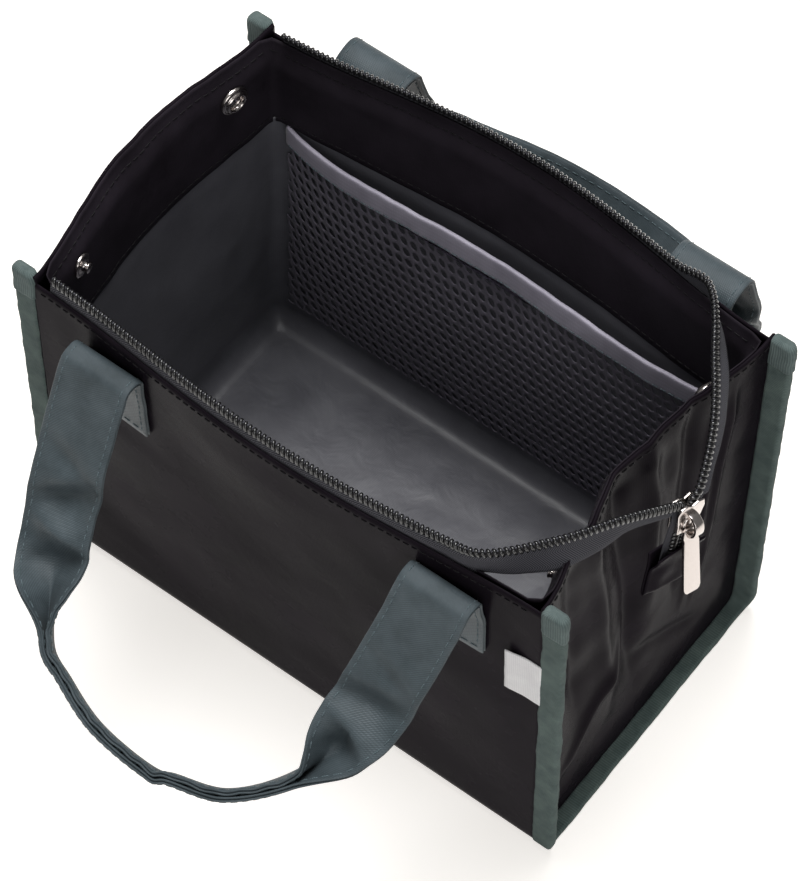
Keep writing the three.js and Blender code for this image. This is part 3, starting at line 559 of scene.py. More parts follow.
# Side panels, creased where the mouth has been folded flat
gusset = {
    "columns": 128, "rows": 110, "edge": 0.4, "hem": 9.5, "turnRadius": 0.8, "turnIn": 6.0, "thickness": 0.7,
    "soft": [(1.2, 48, 1, 8.0), (0.5, 19, 1, 3.0)],
    "wander": 3.0, "wanderRun": 46.0, "sharpness": 1.7, "fadeTop": (-0.05, 0.2), "fadeEnd": (-0.05, 0.3),
    "heldFoot": (4, 40), "heldSeam": (0, 16), "heldRim": (185, 203), "rimShare": 0.35,
    # crease: from (y, z) to (y, z), half width, depth inwards
    "creases": {
        1: [
            (-50, 205, -44, 60, 7.0, 3.4), (-32, 205, -22, 30, 7.0, -3.6), (-10, 205, -2, 20, 7.0, 4.2),
            (10, 205, 8, 80, 5.0, -3.2), (33, 205, 22, 60, 4.0, 2.2), (46, 190, 30, 45, 2.2, -2.6),
            (54, 195, 37, 40, 2.2, -2.2), (-60, 30, -6, 96, 4.0, -2.0), (0, 60, 46, 22, 4.5, 1.6),
        ],
        -1: [(0, 205, 0, 10, 6.0, 1.6), (30, 205, 14, 20, 5.0, -0.8), (-32, 205, -18, 20, 5.0, 0.8)],
    },
}


def sideSag(side, y, z):
    soft = uneven(gusset["soft"], y, z, side)
    for y0, z0, y1, z1, width, depth in gusset["creases"][side]:
        dy, dz = y1 - y0, z1 - z0
        long = math.hypot(dy, dz)
        share = ((y - y0) * dy + (z - z0) * dz) / long ** 2
        off = ((y - y0) * dz - (z - z0) * dy) / long
        off += gusset["wander"] * swell(gusset["wanderRun"], z, y * 0.3, y0)
        fade = ease(*gusset["fadeEnd"], 1 - share)
        if z0 < bag["rim"]:  # starts below the rim
            fade *= ease(*gusset["fadeTop"], share)
        soft -= depth * math.exp(-(abs(off) / width) ** gusset["sharpness"]) * fade
    hold = ease(*gusset["heldFoot"], z) * ease(*gusset["heldSeam"], bag["halfDepth"] - abs(y))
    return soft * hold * mix(1.0, gusset["rimShare"], ease(*gusset["heldRim"], z))


def sideAt(side, y, z, lift=0.0):
    return settle(side * (bag["halfWidth"] + lift), y, z) + Vector((side * sideSag(side, y, z), 0, 0))


def sidePlace(side, u, v):
    half = bag["halfDepth"] - gusset["edge"]
    y = mix(-1, 1, u) * half
    top = gussetTop(y)
    s = mix(gusset["edge"], top + turnedRun(gusset), v)
    z = min(s, top)
    if z < bag["fold"]:  # rounded lower corners
        y *= (half - bag["fold"] + bag["fold"] * rounding(z / bag["fold"])) / half
    if s <= top:
        return sideAt(side, y, z)
    lift, up = turnOver(gusset, s - top)
    return sideAt(side, y, top, lift) + Vector((0, 0, up))


panelSize = (2 * bag["halfDepth"], bag["gusset"] + gusset["hem"])
for side, hand in sideNames.items():
    bm = layCloth(gusset["columns"], gusset["rows"], panelSize, lambda u, v: sidePlace(side, u, v), towards=1)
    stands = ["side_panel_" + hand.lower()]
    panel = addPiece("sideCloth" + hand, bm, outerNylon, stands, thickness=gusset["thickness"])
print("outer cloth and side panels laid")

# Lining: a tub of wiped cloth, soft at its corners
lining = {
    "columns": 260, "rows": 92, "top": 153.0, "corner": 6.0, "floorCorner": 3.0, "foot": 9.0,
    "thickness": 0.5, "tuck": 0.5,  # the top edge lies this much behind the facing
    "soft": [(1.5, 36, 0.5, 11.0), (0.7, 14, 0.6, 4.0)], "backSlack": 0.2,  # drawn tight behind the pocket
    "cut": 215.0, "base": 60.0, "wallHeight": 145.0, "floor": (238.0, 136.0), "cornerLoss": 20.0,
    "floorRuck": (0.9, 30), "spine": 58.0, "spineStep": 4.0, "weld": 0.3,
    "tuckRun": (2, 10), "heldTop": (0, 24), "ruckFrom": (0, 0.3),
}


def liningPlace(u, v):
    wall = lining["top"] - bag["lining"] - lining["foot"]
    curve = lining["foot"] * math.pi / 2
    d = v * (wall + curve + lining["base"])
    if d <= wall:
        z = lining["top"] - d
        depth = bag["lining"] - lining["tuck"] * (1 - ease(*lining["tuckRun"], d))
        x, y, nx, ny, along = ringAt(u, depth, lining["corner"])
        slack = lining["backSlack"] if ny < -0.5 else 1.0
        sag = uneven(lining["soft"], along, z) * slack * ease(*lining["heldTop"], d)
        return settle(x + nx * sag, y + ny * sag, z)
    turn = min((d - wall) / lining["foot"], math.pi / 2)
    inset = lining["foot"] * (1 - math.cos(turn))
    z = bag["lining"] + lining["foot"] * (1 - math.sin(turn))
    x, y = ringAt(u, bag["lining"] + inset, max(lining["corner"] - inset, lining["floorCorner"]))[:2]
    inwards = max(d - wall - curve, 0.0) / lining["base"]
    # both halves of the floor end on the same spots and are welded there
    spine = min(max(x, -lining["spine"]), lining["spine"])
    spine = lining["spineStep"] * round(spine / lining["spineStep"])
    x, y = mix(x, spine, inwards), mix(y, 0.0, inwards)
    high, size = lining["floorRuck"]
    z += abs(high * swell(size, x, y, 6.0)) * ease(*lining["ruckFrom"], inwards)
    return settle(x, y, z)


innerRun = 4 * (bag["halfWidth"] + bag["halfDepth"]) - 8 * bag["lining"] - lining["cornerLoss"]
liningCut = (innerRun, lining["cut"])
bm = layCloth(lining["columns"], lining["rows"], liningCut, liningPlace, towards=-1, closed=True)
bmesh.ops.remove_doubles(bm, verts=bm.verts, dist=lining["weld"])
liningStands = ["lining_wrap", "lining_left", "lining_right"]
liningStands += ["foam_front", "foam_back", "foam_base", "foam_left", "foam_right"]
liningTub = addPiece(
    "liningTub", bm, liningSatin, liningStands, thickness=lining["thickness"])

# Facing: the black band inside the rim
facing = {
    "columns": 300, "rows": 26, "corner": 2.5, "wallDepth": 3.0, "sideDepth": 2.2, "thickness": 0.5,
    "low": bag["rim"] - bag["facing"], "cut": 51.0,
    "seat": 0.6, "proud": 0.5, "rimDrop": 0.6, "sideRise": 0.2,
    "soft": [(0.9, 30, 0.5, 14.0), (0.4, 12, 0.7, 9.0)], "backSlack": 0.5,
    "bedRun": (0, 14), "heldRim": (3, 20), "followRun": (30, 0),
    "stitchRows": (0.11, 0.93),  # shares of the way down
}


def facingPlace(u, v, lift=0.0):
    x, y, nx, ny, along = ringAt(u, bag["lining"] + facing["seat"], facing["corner"])
    top = mix(bag["rim"] - facing["rimDrop"], gussetTop(y) + facing["sideRise"], nx * nx)
    z = mix(top, facing["low"], v)
    atRim = mix(facing["wallDepth"], facing["sideDepth"], nx * nx)
    depth = mix(atRim, bag["lining"] + facing["proud"], ease(*facing["bedRun"], top - z))
    depth -= bag["lining"] + facing["seat"]
    slack = facing["backSlack"] if ny < -0.5 else 1.0
    sag = depth + lift + uneven(facing["soft"], along, z) * ease(*facing["heldRim"], top - z) * slack
    spot = settle(x + nx * sag, y + ny * sag, z)
    if abs(nx) > 0.5:  # sewn to the side panel at the rim, so it follows the panel's folds there
        side = -1 if nx > 0 else 1
        spot.x += side * sideSag(side, y, z) * ease(*facing["followRun"], top - z)
    return spot


facingCut = (innerRun, bag["facing"])
bm = layCloth(facing["columns"], facing["rows"], facingCut, facingPlace, towards=-1, closed=True)
facingStands = ["facing_front", "facing_back", "facing_left", "facing_right"]
facingBand = addPiece(
    "facingBand", bm, facingNylon, facingStands, thickness=facing["thickness"])
print("lining and facing laid")

# Mesh pocket: a slack knitted net behind a satin hem
net = {
    "cellWidth": 4.8, "cellHeight": 6.6, "strand": 1.25, "thickness": 0.7, "bias": 0.22, "smallestHole": 6.0,
    "halfWidth": 112.1, "low": 20.0, "high": 138.0, "seat": 0.6, "slack": 9.0, "ripple": (0.7, 26),
    "hem": 12.5, "hemThickness": 1.1, "hemColumns": 150, "hemRows": 20, "hemCut": (224.0, 24.0),
    "hemInset": 0.2, "hemPucker": (0.35, 9), "hemStitchLift": 0.1, "stitchRise": 1.8, "stitchHalf": 110.0,
}


def netPlace(x, z, offset=0.0):
    rise = min(max((z - net["low"]) / (net["high"] - net["low"]), 0.0), 1.0)
    slack = net["slack"] * (1 - (x / net["halfWidth"]) ** 4) * math.sin(rise * math.pi / 2)
    high, size = net["ripple"]
    ripple = high * swell(size, x, z, 1.5) * rise
    return wallAt(1, x, z, -(bag["lining"] + net["seat"] + slack + offset + ripple))


bm = bmesh.new()
bm.loops.layers.uv.new("cloth")
netHigh = net["high"] - net["low"]
netWide = 2 * net["halfWidth"] + net["bias"] * netHigh
cells = (round(netWide / net["cellWidth"]), round(netHigh / net["cellHeight"]))
bmesh.ops.create_grid(bm, x_segments=cells[0], y_segments=cells[1], size=0.5)
bmesh.ops.scale(bm, vec=(netWide, netHigh, 1), verts=bm.verts)
bmesh.ops.inset_individual(bm, faces=bm.faces[:], thickness=net["strand"] / 2)
inner = [f for f in bm.faces if all(len(e.link_faces) == 2 for e in f.edges)]
holes = [f for f in inner if f.calc_area() > net["smallestHole"]]
bmesh.ops.delete(bm, geom=holes, context="FACES_ONLY")
for vert in bm.verts:
    vert.co.x -= net["bias"] * vert.co.y
bmesh.ops.translate(bm, vec=(0, (net["low"] + net["high"]) / 2, 0), verts=bm.verts)
for hand in (-1, 1):
    everything = bm.verts[:] + bm.edges[:] + bm.faces[:]
    cut = (hand * net["halfWidth"], 0, 0)
    bmesh.ops.bisect_plane(bm, geom=everything, plane_co=cut, plane_no=(hand, 0, 0), clear_outer=True)
for vert in bm.verts:
    vert.co = netPlace(vert.co.x, vert.co.y)
meshPocket = addPiece(
    "meshPocket", bm, netYarn, ["mesh_pocket"], thickness=net["thickness"], offset=0.0)
rounded = meshPocket.modifiers.new("roundedHoles", "SUBSURF")
rounded.levels = 1
rounded.render_levels = 1


def hemPlace(u, v):  # a closed band folded over the net's top edge
    x = mix(-1, 1, u) * (net["halfWidth"] - net["hemInset"])
    across, along = math.sin(2 * math.pi * v), math.cos(2 * math.pi * v)
    z = net["high"] + net["hem"] * 0.5 * (1 - math.copysign(abs(along) ** 0.5, along))
    high, size = net["hemPucker"]
    pucker = high * swell(size, x, v * 3, 2.0)
    return netPlace(x, z, -net["hemThickness"] * math.copysign(abs(across) ** 0.4, across) + pucker)


bm = layCloth(net["hemColumns"], net["hemRows"], net["hemCut"], hemPlace, closed=True)
closeEnds(bm)
addPiece("pocketHem", bm, hemSatin, ["mesh_pocket_binding"])
print("mesh pocket knitted")

# Bound seams: ribbon folded over the seam edge that stands out past each side panel
binding = {
    "columns": 40, "rows": 330, "near": 124.4, "far": 135.2, "baseFar": 132.0, "outer": 0.6, "inner": -3.5,
    "topRise": 4.0, "corner": 1.6, "endRound": 5.0, "endClose": 1.8, "endWidth": 0.5, "endDepth": 0.25,
    "sway": (0.5, 15), "fray": (0.28, 4), "plump": (0.14, 11), "baseEase": 6.0, "baseFlat": 12.0,
    # a scrap folded over each top end
    "capColumns": 44, "capRows": 14, "capRun": 12.0, "capGrow": 0.55,
    "capThickness": 0.4, "capRagged": (1.1, 3.5),
}


def bindingCut(grow=0.0):  # width and depth of the folded ribbon, its corner and its girth
    width = binding["far"] - binding["near"] + 2 * grow
    depth = binding["outer"] - binding["inner"] + 2 * grow
    corner = binding["corner"] + grow
    return width, depth, corner, 2 * (width + depth - 4 * corner) + 2 * math.pi * corner


def bindingPlace(side, u, v, grow=0.0, end=0):
    # on the whole ribbon, or on the cap at its front (-1) or back (1) end, which stands off it by grow
    width, depth, corner, girth = bindingCut(grow)
    rise = binding["topRise"] + grow
    across, up = roundAt(0.5 * width - corner, 0.5 * depth - corner, corner, u * girth)[:2]
    up = -up
    if end:  # ragged lower edge
        high, size = binding["capRagged"]
        s = mix(-rise, binding["capRun"] + high * swell(size, across, up, 4.0 + side), v)
        s = s if end < 0 else wrapRun - s
    else:
        s = mix(-rise, wrapRun + rise, v)
    fromEnd = min(s, wrapRun - s) + rise
    across *= mix(binding["endWidth"], 1.0, rounding(fromEnd / binding["endRound"]))
    up *= mix(binding["endDepth"], 1.0, rounding(fromEnd / binding["endClose"]))
    (sway, swayRun), (fray, frayRun) = binding["sway"], binding["fray"]
    across += sway * swell(swayRun, s, 0, 3.0 + side) + fray * swell(frayRun, s, up, 6.0)
    plump, plumpRun = binding["plump"]
    up *= 1 + plump * swell(plumpRun, s, 0, 8.0 + side)
    low, high = wallRun - binding["baseEase"], wallRun + foldRun
    far = mix(binding["far"], binding["baseFar"], ease(low, high, s) * ease(low, high, wrapRun - s))
    x = 0.5 * (binding["near"] + far) + across * (far - binding["near"]) / (binding["far"] - binding["near"])
    lift = 0.5 * (binding["outer"] + binding["inner"]) + up
    if binding["baseFlat"] < s - wallRun < 2 * foldRun + baseRun - binding["baseFlat"]:
        lift = min(lift, 0.0)  # lies on the table
    return wrapAt(s, side * x, lift)


ribbonCut = (bindingCut()[3], wrapRun + 2 * binding["topRise"])
capCut = (bindingCut(binding["capGrow"])[3], binding["capRun"])
for side, hand in sideNames.items():
    bm = layCloth(
        binding["columns"], binding["rows"], ribbonCut, lambda u, v: bindingPlace(side, u, v), closed=True)
    closeEnds(bm)
    addPiece("seamBinding" + hand, bm, bindingGrosgrain, ["binding_" + hand.lower()])
    for end, where in wallNames.items():
        bm = layCloth(
            binding["capColumns"], binding["capRows"], capCut,
            lambda u, v: bindingPlace(side, u, v, binding["capGrow"], end), closed=True)
        closeEnds(bm, above=bag["rim"] + 2)
        name = "bindingCap" + where + hand
        addPiece(name, bm, litCapGrosgrain, thickness=binding["capThickness"])
print("seams bound")

# Zip: two coils on their tapes, along the rim, over the right side panel and down the tail
zipper = {
    "coilWidth": 4.7, "coilHeight": 3.3, "bulge": 1.15, "wire": 0.82, "pitch": 2.3,
    "turnSpots": 11, "core": 1.15,
    "tapeWidth": 13.0, "freeWidth": {-1: 13.5, 1: 8.6}, "bendWidth": 5.0, "tapeThickness": 0.6,
    "tapeEdge": -1.6, "tapeColumns": 12, "tapeStep": 1.6, "tapeCut": 12.0, "tapeRipple": (0.9, 16),
    "rise": 4.5, "depth": 3.4, "slope": 5.6, "splay": 0.31, "droop": 0.9,
    "chainOffset": 2.4, "sliderLength": 11.0, "tail": 25.8, "frameStep": 0.9,
    # along the rim: from x to x and in how many points, where the coil starts to rise, and its last stitch
    "rimRun": (-117.0, 77.0), "rimSpots": 9, "swellFrom": 36.0, "swellRise": 2.2,
    "lastStitch": 93.0, "lastRise": 6.5,
    # how each coil turns into the slider: radius, degrees, straight run before it; where it leaves the rim
    "bend": {-1: (6.0, 85.0, -1.0), 1: (10.0, 40.0, 0.8)},
    "corner": {-1: [(114, -52, 213), (128, -28, 210.5)], 1: [(115, 52, 210), (131, 28, 206)]},
    # where the tape changes, counted in points of the route; drawnIn is into the slider
    "sewnEnd": (7.6, 8.8), "narrowed": (8, 9), "hangs": (9, 10),
    "turned": (11, 12.4), "drawnIn": (10.3, 11.7),
    "slider": (138.5, -0.8, 186.0), "lean": 14.0, "turn": 14.0,
}
leaning = Matrix.Rotation(-math.radians(zipper["lean"]), 4, "X")
hang = leaning @ Matrix.Rotation(-math.radians(zipper["turn"]), 4, "Z")
sliderPlace = Matrix.Translation(zipper["slider"]) @ hang


def fromSlider(out, across, up):
    return sliderPlace @ Vector((out, across, up))


def rimSpot(side, x, rise):
    up = Vector((0, 0, zipper["rise"]))
    return wallAt(side, x, bag["rim"], -zipper["depth"]) + up + Vector((0, 0, rise))


def coilRoute(side):
    left, right = zipper["rimRun"]
    spots = [mix(left, right, i / (zipper["rimSpots"] - 1)) for i in range(zipper["rimSpots"])]
    points = [rimSpot(side, x, zipper["swellRise"] * ease(zipper["swellFrom"], right, x)) for x in spots]
    points.append(rimSpot(side, zipper["lastStitch"], zipper["lastRise"]))
    points += [Vector(spot) for spot in zipper["corner"][side]]
    radius, degrees, lead = zipper["bend"][side]
    throat = zipper["sliderLength"] / 2
    for i in (3, 2, 1, 0):
        turn = math.radians(degrees) * i / 3
        away = zipper["chainOffset"] + radius * (1 - math.cos(turn))
        points.append(fromSlider(0, side * away, throat + lead + radius * math.sin(turn)))
    for i in range(4):
        points.append(fromSlider(0, side * zipper["chainOffset"], mix(throat - 2, -zipper["tail"], i / 3)))
    return points


def coilFrames(side):
    # about every mm: distance, and place, tape direction, tape face, tape width, how far it is sewn in
    points = coilRoute(side)
    outward = (fromSlider(0, side, 0) - fromSlider(0, 0, 0)).normalized()
    # round the corner the free edge hangs a little
    droop = Vector((outward.x, outward.y, -zipper["droop"])).normalized()
    runs = []
    frames = []
    run = 0.0
    last = None
    for i in range(len(points) - 1):
        steps = max(3, int((points[i + 1] - points[i]).length / zipper["frameStep"]))
        for k in range(steps + (i == len(points) - 2)):
            along = i + k / steps
            at, ahead = routeAt(points, along)
            sewn = 1 - ease(*zipper["sewnEnd"], along)
            down = Vector((0, side * zipper["splay"] * sewn, -1)).lerp(droop, ease(*zipper["hangs"], along))
            down = down.lerp(outward, ease(*zipper["turned"], along))
            down = (down - ahead * down.dot(ahead)).normalized()
            width = mix(zipper["tapeWidth"], zipper["freeWidth"][side], ease(*zipper["narrowed"], along))
            width = mix(width, zipper["bendWidth"], ease(*zipper["drawnIn"], along))
            run += (at - last).length if last else 0.0
            last = at
            runs.append(run)
            frames.append((at, down, ahead.cross(down).normalized(), width, sewn))
    return runs, frames


def frameAt(runs, frames, run):
    low, t = spanAt(runs, run)
    a, b = frames[low], frames[low + 1]
    at, down, face = (p.lerp(q, t) for p, q in zip(a[:3], b[:3]))
    return at, down.normalized(), face.normalized(), mix(a[3], b[3], t), mix(a[4], b[4], t)


for side, where in wallNames.items():
    runs, frames = coilFrames(side)
    total = runs[-1]
    halfWide = zipper["coilWidth"] / 2 - zipper["wire"]
    halfHigh = zipper["coilHeight"] / 2 - zipper["wire"]
    wire = []
    for i in range(int(total / zipper["pitch"]) * zipper["turnSpots"]):
        at, down, face = frameAt(runs, frames, i / zipper["turnSpots"] * zipper["pitch"])[:3]
        turn = 2 * math.pi * i / zipper["turnSpots"]
        offset = down * halfWide * math.cos(turn) + face * halfHigh * math.sin(turn) * zipper["bulge"]
        wire.append(at + offset)
    coilStands = ["zip_coil_" + where.lower()]
    addThreads("zipCoil" + where, [wire], zipper["wire"], coilNylon, coilStands, sides=1)
    cord = [spot[0] for spot in frames[::2]]  # filler cord inside the coil
    addThreads("zipCord" + where, [cord], zipper["core"], blackThread, sides=1)

    def tapePlace(u, v):
        at, down, face, width, sewn = frameAt(runs, frames, v * total)
        reach = mix(zipper["tapeEdge"], width, u)
        high, size = zipper["tapeRipple"]
        sag = high * swell(size, v * total, u * 4, 5.0 + side) * u * (1 - sewn)
        under = down.lerp(Vector((0, 0, -1)), sewn)
        slope = zipper["slope"]
        return at + down * min(reach, slope) + under * max(reach - slope, 0.0) + face * sag
    tapeCut = (zipper["tapeCut"], total)
    bm = layCloth(zipper["tapeColumns"], int(total / zipper["tapeStep"]), tapeCut, tapePlace)
    tapeStands = ["zip_tape_" + where.lower()]
    tapeThick = zipper["tapeThickness"]
    addPiece("zipTape" + where, bm, zipTwill, tapeStands, thickness=tapeThick, offset=0.0)

# End tab: a scrap of the outer cloth folded over the tail
endTab = {
    "columns": 20, "rows": 50, "width": 25.0, "cut": 48.5, "top": -15.8, "length": 23.0, "gap": 2.2,
    "thickness": 0.8, "flare": 1.3, "flareRun": 8.0, "pinch": 1.5, "pinchRun": 10.0, "foldPinch": 0.7,
    "edgeFrom": 0.45, "ruck": (0.5, 9), "sway": (0.02, 8),
}


def endTabPlace(u, v):
    across = mix(-0.5, 0.5, u) * endTab["width"]
    half = endTab["length"] - endTab["gap"]
    bend = math.pi * endTab["gap"]
    d = v * (2 * half + bend)
    low = endTab["top"] - half
    edge = abs(mix(-1, 1, u))
    near = ease(endTab["edgeFrom"], 1, edge)  # the side edges are drawn together
    if d < half:
        out, up = endTab["gap"], endTab["top"] - d
        out += endTab["flare"] * ease(endTab["flareRun"], 0, d) * (0.4 + 0.6 * edge)
        out -= endTab["pinch"] * near * ease(0, endTab["pinchRun"], d)
    elif d < half + bend:
        turn = (d - half) / endTab["gap"]
        out, up = endTab["gap"] * math.cos(turn), low - endTab["gap"] * math.sin(turn)
        out *= 1 - endTab["foldPinch"] * near
    else:
        out, up = -endTab["gap"], low + d - half - bend
        out += endTab["pinch"] * near * ease(0, endTab["pinchRun"], endTab["top"] - up)
    (ruck, ruckRun), (sway, swayRun) = endTab["ruck"], endTab["sway"]
    out += ruck * swell(ruckRun, across, up, 4.0)
    return fromSlider(out, across * (1 + sway * swell(swayRun, up, 0, 3.0)), up)


bm = layCloth(endTab["columns"], endTab["rows"], (endTab["width"], endTab["cut"]), endTabPlace)
zipEndTab = addPiece(
    "zipEndTab", bm, outerNylon, ["zip_end_tab"], thickness=endTab["thickness"], offset=0.0)

# Slider and pull: die-cast, their edges tumbled round. Outlines are (across, up) in the slider's own axes.
cast = {
    "plate": [
        (0.0, 8.6), (2.8, 10.2), (6.0, 9.6), (7.0, 6.4), (6.1, 1.8), (5.3, -1.4), (5.1, -4.8), (4.4, -5.4),
    ],
    "plateFrom": 1.8, "plateTo": 3.0, "slot": 0.5, "sink": 0.3,
    "flangeOut": 4.6, "flange": 0.8, "flangeRun": (-5.0, -1.0), "post": (1.1, 3.4, 6.6), "postTip": 1.4,
    "pivot": 3.9, "bridge": 5.0, "bridgeHalf": 2.2, "bridgeThick": 1.5, "bridgeFoot": 0.4, "bridgeSteps": 20,
    "boss": [(3.1, 0.0), (3.0, 0.5), (2.3, 0.8), (1.3, 1.0), (0.0, 1.05)], "bossSink": 0.05, "bossSteps": 28,
    "pull": [
        (2.4, -1.6), (3.8, -2.8), (4.1, -5.8), (3.6, -7.4), (4.0, -8.8),
        (4.35, -30.4), (3.8, -31.9), (2.6, -32.7),
    ],
    "eye": [(1.2, -3.1), (2.0, -3.5), (2.0, -5.3), (1.2, -5.7)], "pullThick": 1.6, "pullLift": 17.0,
    "edge": 0.35, "edgeSegments": 3, "edgeAngle": 35.0,
}


def bothHands(half):  # a right-hand outline and its mirror image, as one ring
    return half + [(-across, up) for across, up in reversed(half) if across > 0]


def raiseFaces(bm, faces, way):
    raised = bmesh.ops.extrude_face_region(bm, geom=faces, use_keep_orig=True)["geom"]
    bmesh.ops.translate(bm, vec=way, verts=[v for v in raised if isinstance(v, bmesh.types.BMVert)])


def castPlate(bm, rings, low, high):  # a flat plate with holes, between two heights off the tape
    edges = []
    for ring in rings:
        verts = [bm.verts.new((low, across, up)) for across, up in ring]
        edges += [bm.edges.new(pair) for pair in zip(verts, verts[1:] + verts[:1])]
    filled = bmesh.ops.triangle_fill(bm, use_beauty=True, edges=edges)["geom"]
    raiseFaces(bm, [f for f in filled if isinstance(f, bmesh.types.BMFace)], (high - low, 0, 0))


def spinProfile(bm, spots, axis, steps):  # turned once round an axis through the origin
    ring = [bm.verts.new(spot) for spot in spots]
    profile = ring + [bm.edges.new(pair) for pair in zip(ring, ring[1:])]
    whole = 2 * math.pi
    bmesh.ops.spin(bm, geom=profile, cent=(0, 0, 0), axis=axis, angle=whole, steps=steps, use_merge=True)
    bmesh.ops.remove_doubles(bm, verts=bm.verts, dist=0.001)


def finishCast(name, bm, place, node, body):
    bm.loops.layers.uv.new("cloth")
    bmesh.ops.recalc_face_normals(bm, faces=bm.faces)
    bmesh.ops.transform(bm, matrix=place, verts=bm.verts)
    piece = addPiece(name, bm, nickel, [node], body=body)
    tumbled = piece.modifiers.new("tumbledEdges", "BEVEL")
    tumbled.width = cast["edge"] * mm
    tumbled.segments = cast["edgeSegments"]
    tumbled.limit_method = "ANGLE"
    tumbled.angle_limit = math.radians(cast["edgeAngle"])


bm = bmesh.new()
near, far = cast["plateFrom"], cast["plateTo"]
plateRing = bothHands(cast["plate"])
castPlate(bm, [plateRing], near, far)
castPlate(bm, [plateRing], -far, -near)
outside, inside = cast["flangeOut"], cast["flangeOut"] - cast["flange"]
low, high = cast["flangeRun"]
for hand in (-1, 1):
    edge = ((outside, low), (outside, high), (inside, high), (inside, low))
    ring = [(hand * across, up) for across, up in edge]
    castPlate(bm, [ring], cast["slot"], near + cast["sink"])
    castPlate(bm, [ring], -near - cast["sink"], -cast["slot"])
half, low, high = cast["post"]
post = [(-half, low), (0.0, low - cast["postTip"]), (half, low), (half, high), (-half, high)]
castPlate(bm, [post], -near - cast["sink"], near + cast["sink"])
inside = cast["bridge"] - cast["bridgeThick"] / 2
outside = cast["bridge"] + cast["bridgeThick"] / 2
foot = near + cast["bridgeFoot"]
turns = [math.pi * i / cast["bridgeSteps"] for i in range(cast["bridgeSteps"] + 1)]
arch = [(foot, inside), (foot, outside)]
arch += [(cast["pivot"] + outside * math.sin(turn), outside * math.cos(turn)) for turn in turns]
arch += [(foot, -outside), (foot, -inside)]
arch += [(cast["pivot"] + inside * math.sin(turn), -inside * math.cos(turn)) for turn in turns]
face = bm.faces.new([bm.verts.new((out, -cast["bridgeHalf"], up)) for out, up in arch])
raiseFaces(bm, [face], (0, 2 * cast["bridgeHalf"], 0))
boss = [(far + h - cast["bossSink"], r, 0) for r, h in cast["boss"]]
spinProfile(bm, boss, (1, 0, 0), cast["bossSteps"])
finishCast("zipSlider", bm, sliderPlace, "zip_slider", "zip_slider")
bm = bmesh.new()
half = cast["pullThick"] / 2
castPlate(bm, [bothHands(cast["pull"]), bothHands(cast["eye"])], -half, half)
lifted = Matrix.Rotation(-math.radians(cast["pullLift"]), 4, "Y")
pullPlace = sliderPlace @ Matrix.Translation((cast["pivot"], 0, 0)) @ lifted
finishCast("zipPull", bm, pullPlace, "zip_pull", "zip_pull")
print("zip sewn in")

# Handles: one strap each, from its left tab over the fold, down the leg, folded in half along the grip
strap = {
    "width": 33.0, "thickness": 2.2, "centre": 83.0, "crease": 1.4,
    "foldLength": 42.0, "tiltRun": (60.0, 120.0),
    "tabLength": 42.0, "tabRise": 2.0, "seat": 1.4, "gap": 0.3, "liftOff": 18.0, "stitchInset": 2.6,
    "tabSteps": 18, "archSteps": 16, "spanSteps": 18, "tiltSteps": 40, "faceSteps": 16, "girth": 70.0,
    "ripple": 0.9, "rippleRun": 30.0, "curl": 1.6, "lipWave": 0.3, "lipRun": 11.0, "freeRun": (64, 120),
    "hoistRun": (8, 60), "hoistSpread": (-50, 16), "edgeRound": 0.5, "edgeGroove": 1.2,
    "stitch": 2.9, "stitchStart": 3.0, "endSeam": 3.5,
    # dent: how far down the strap, how far it slants over half a width, depth, half length
    "dents": [
        (84, 4, 2.4, 7.0), (93, 10, -3.6, 5.0), (100, -9, 2.4, 5.0),
        (109, -8, -5.6, 6.5), (122, 6, 5.0, 6.0), (136, -4, -5.4, 5.5),
    ],
    "dentSharpness": 1.6, "dentMirror": -0.6, "dentTaper": 0.7,
}
# left, right and middle: share of the half spacing between the legs, and reach down the strap from the fold
evenLeg = [(0.99, 36.0), (0.915, 72.0), (0.765, 103.0), (0.505, 123.0), (0.23, 134.0)]
handles = {
    -1: {
        "radius": 5.0, "height": 185.0, "legTilt": 58.0, "gripTilt": 24.0, "gripLean": 17.0,
        "left": [(0.961, 40.0), (0.871, 80.0), (0.667, 114.0), (0.497, 121.3), (0.226, 129.6)],
        "right": [(0.958, 35.4), (0.888, 70.7), (0.739, 101.0), (0.497, 122.4), (0.226, 129.6)],
        "middle": (0.154, 131.8), "hoist": 0.0, "start": (0, -0.0815, 0.185), "end": (0, -0.0895, 0.185),
    },
    1: {
        "radius": 8.5, "height": 184.0, "legTilt": 76.0, "gripTilt": 45.0, "gripLean": 0.0,
        "left": evenLeg, "right": evenLeg,
        "middle": (0.0, 137.0), "hoist": 5.5, "start": (0, 0.0882, 0.184), "end": (0, 0.1046, 0.184),
    },
}


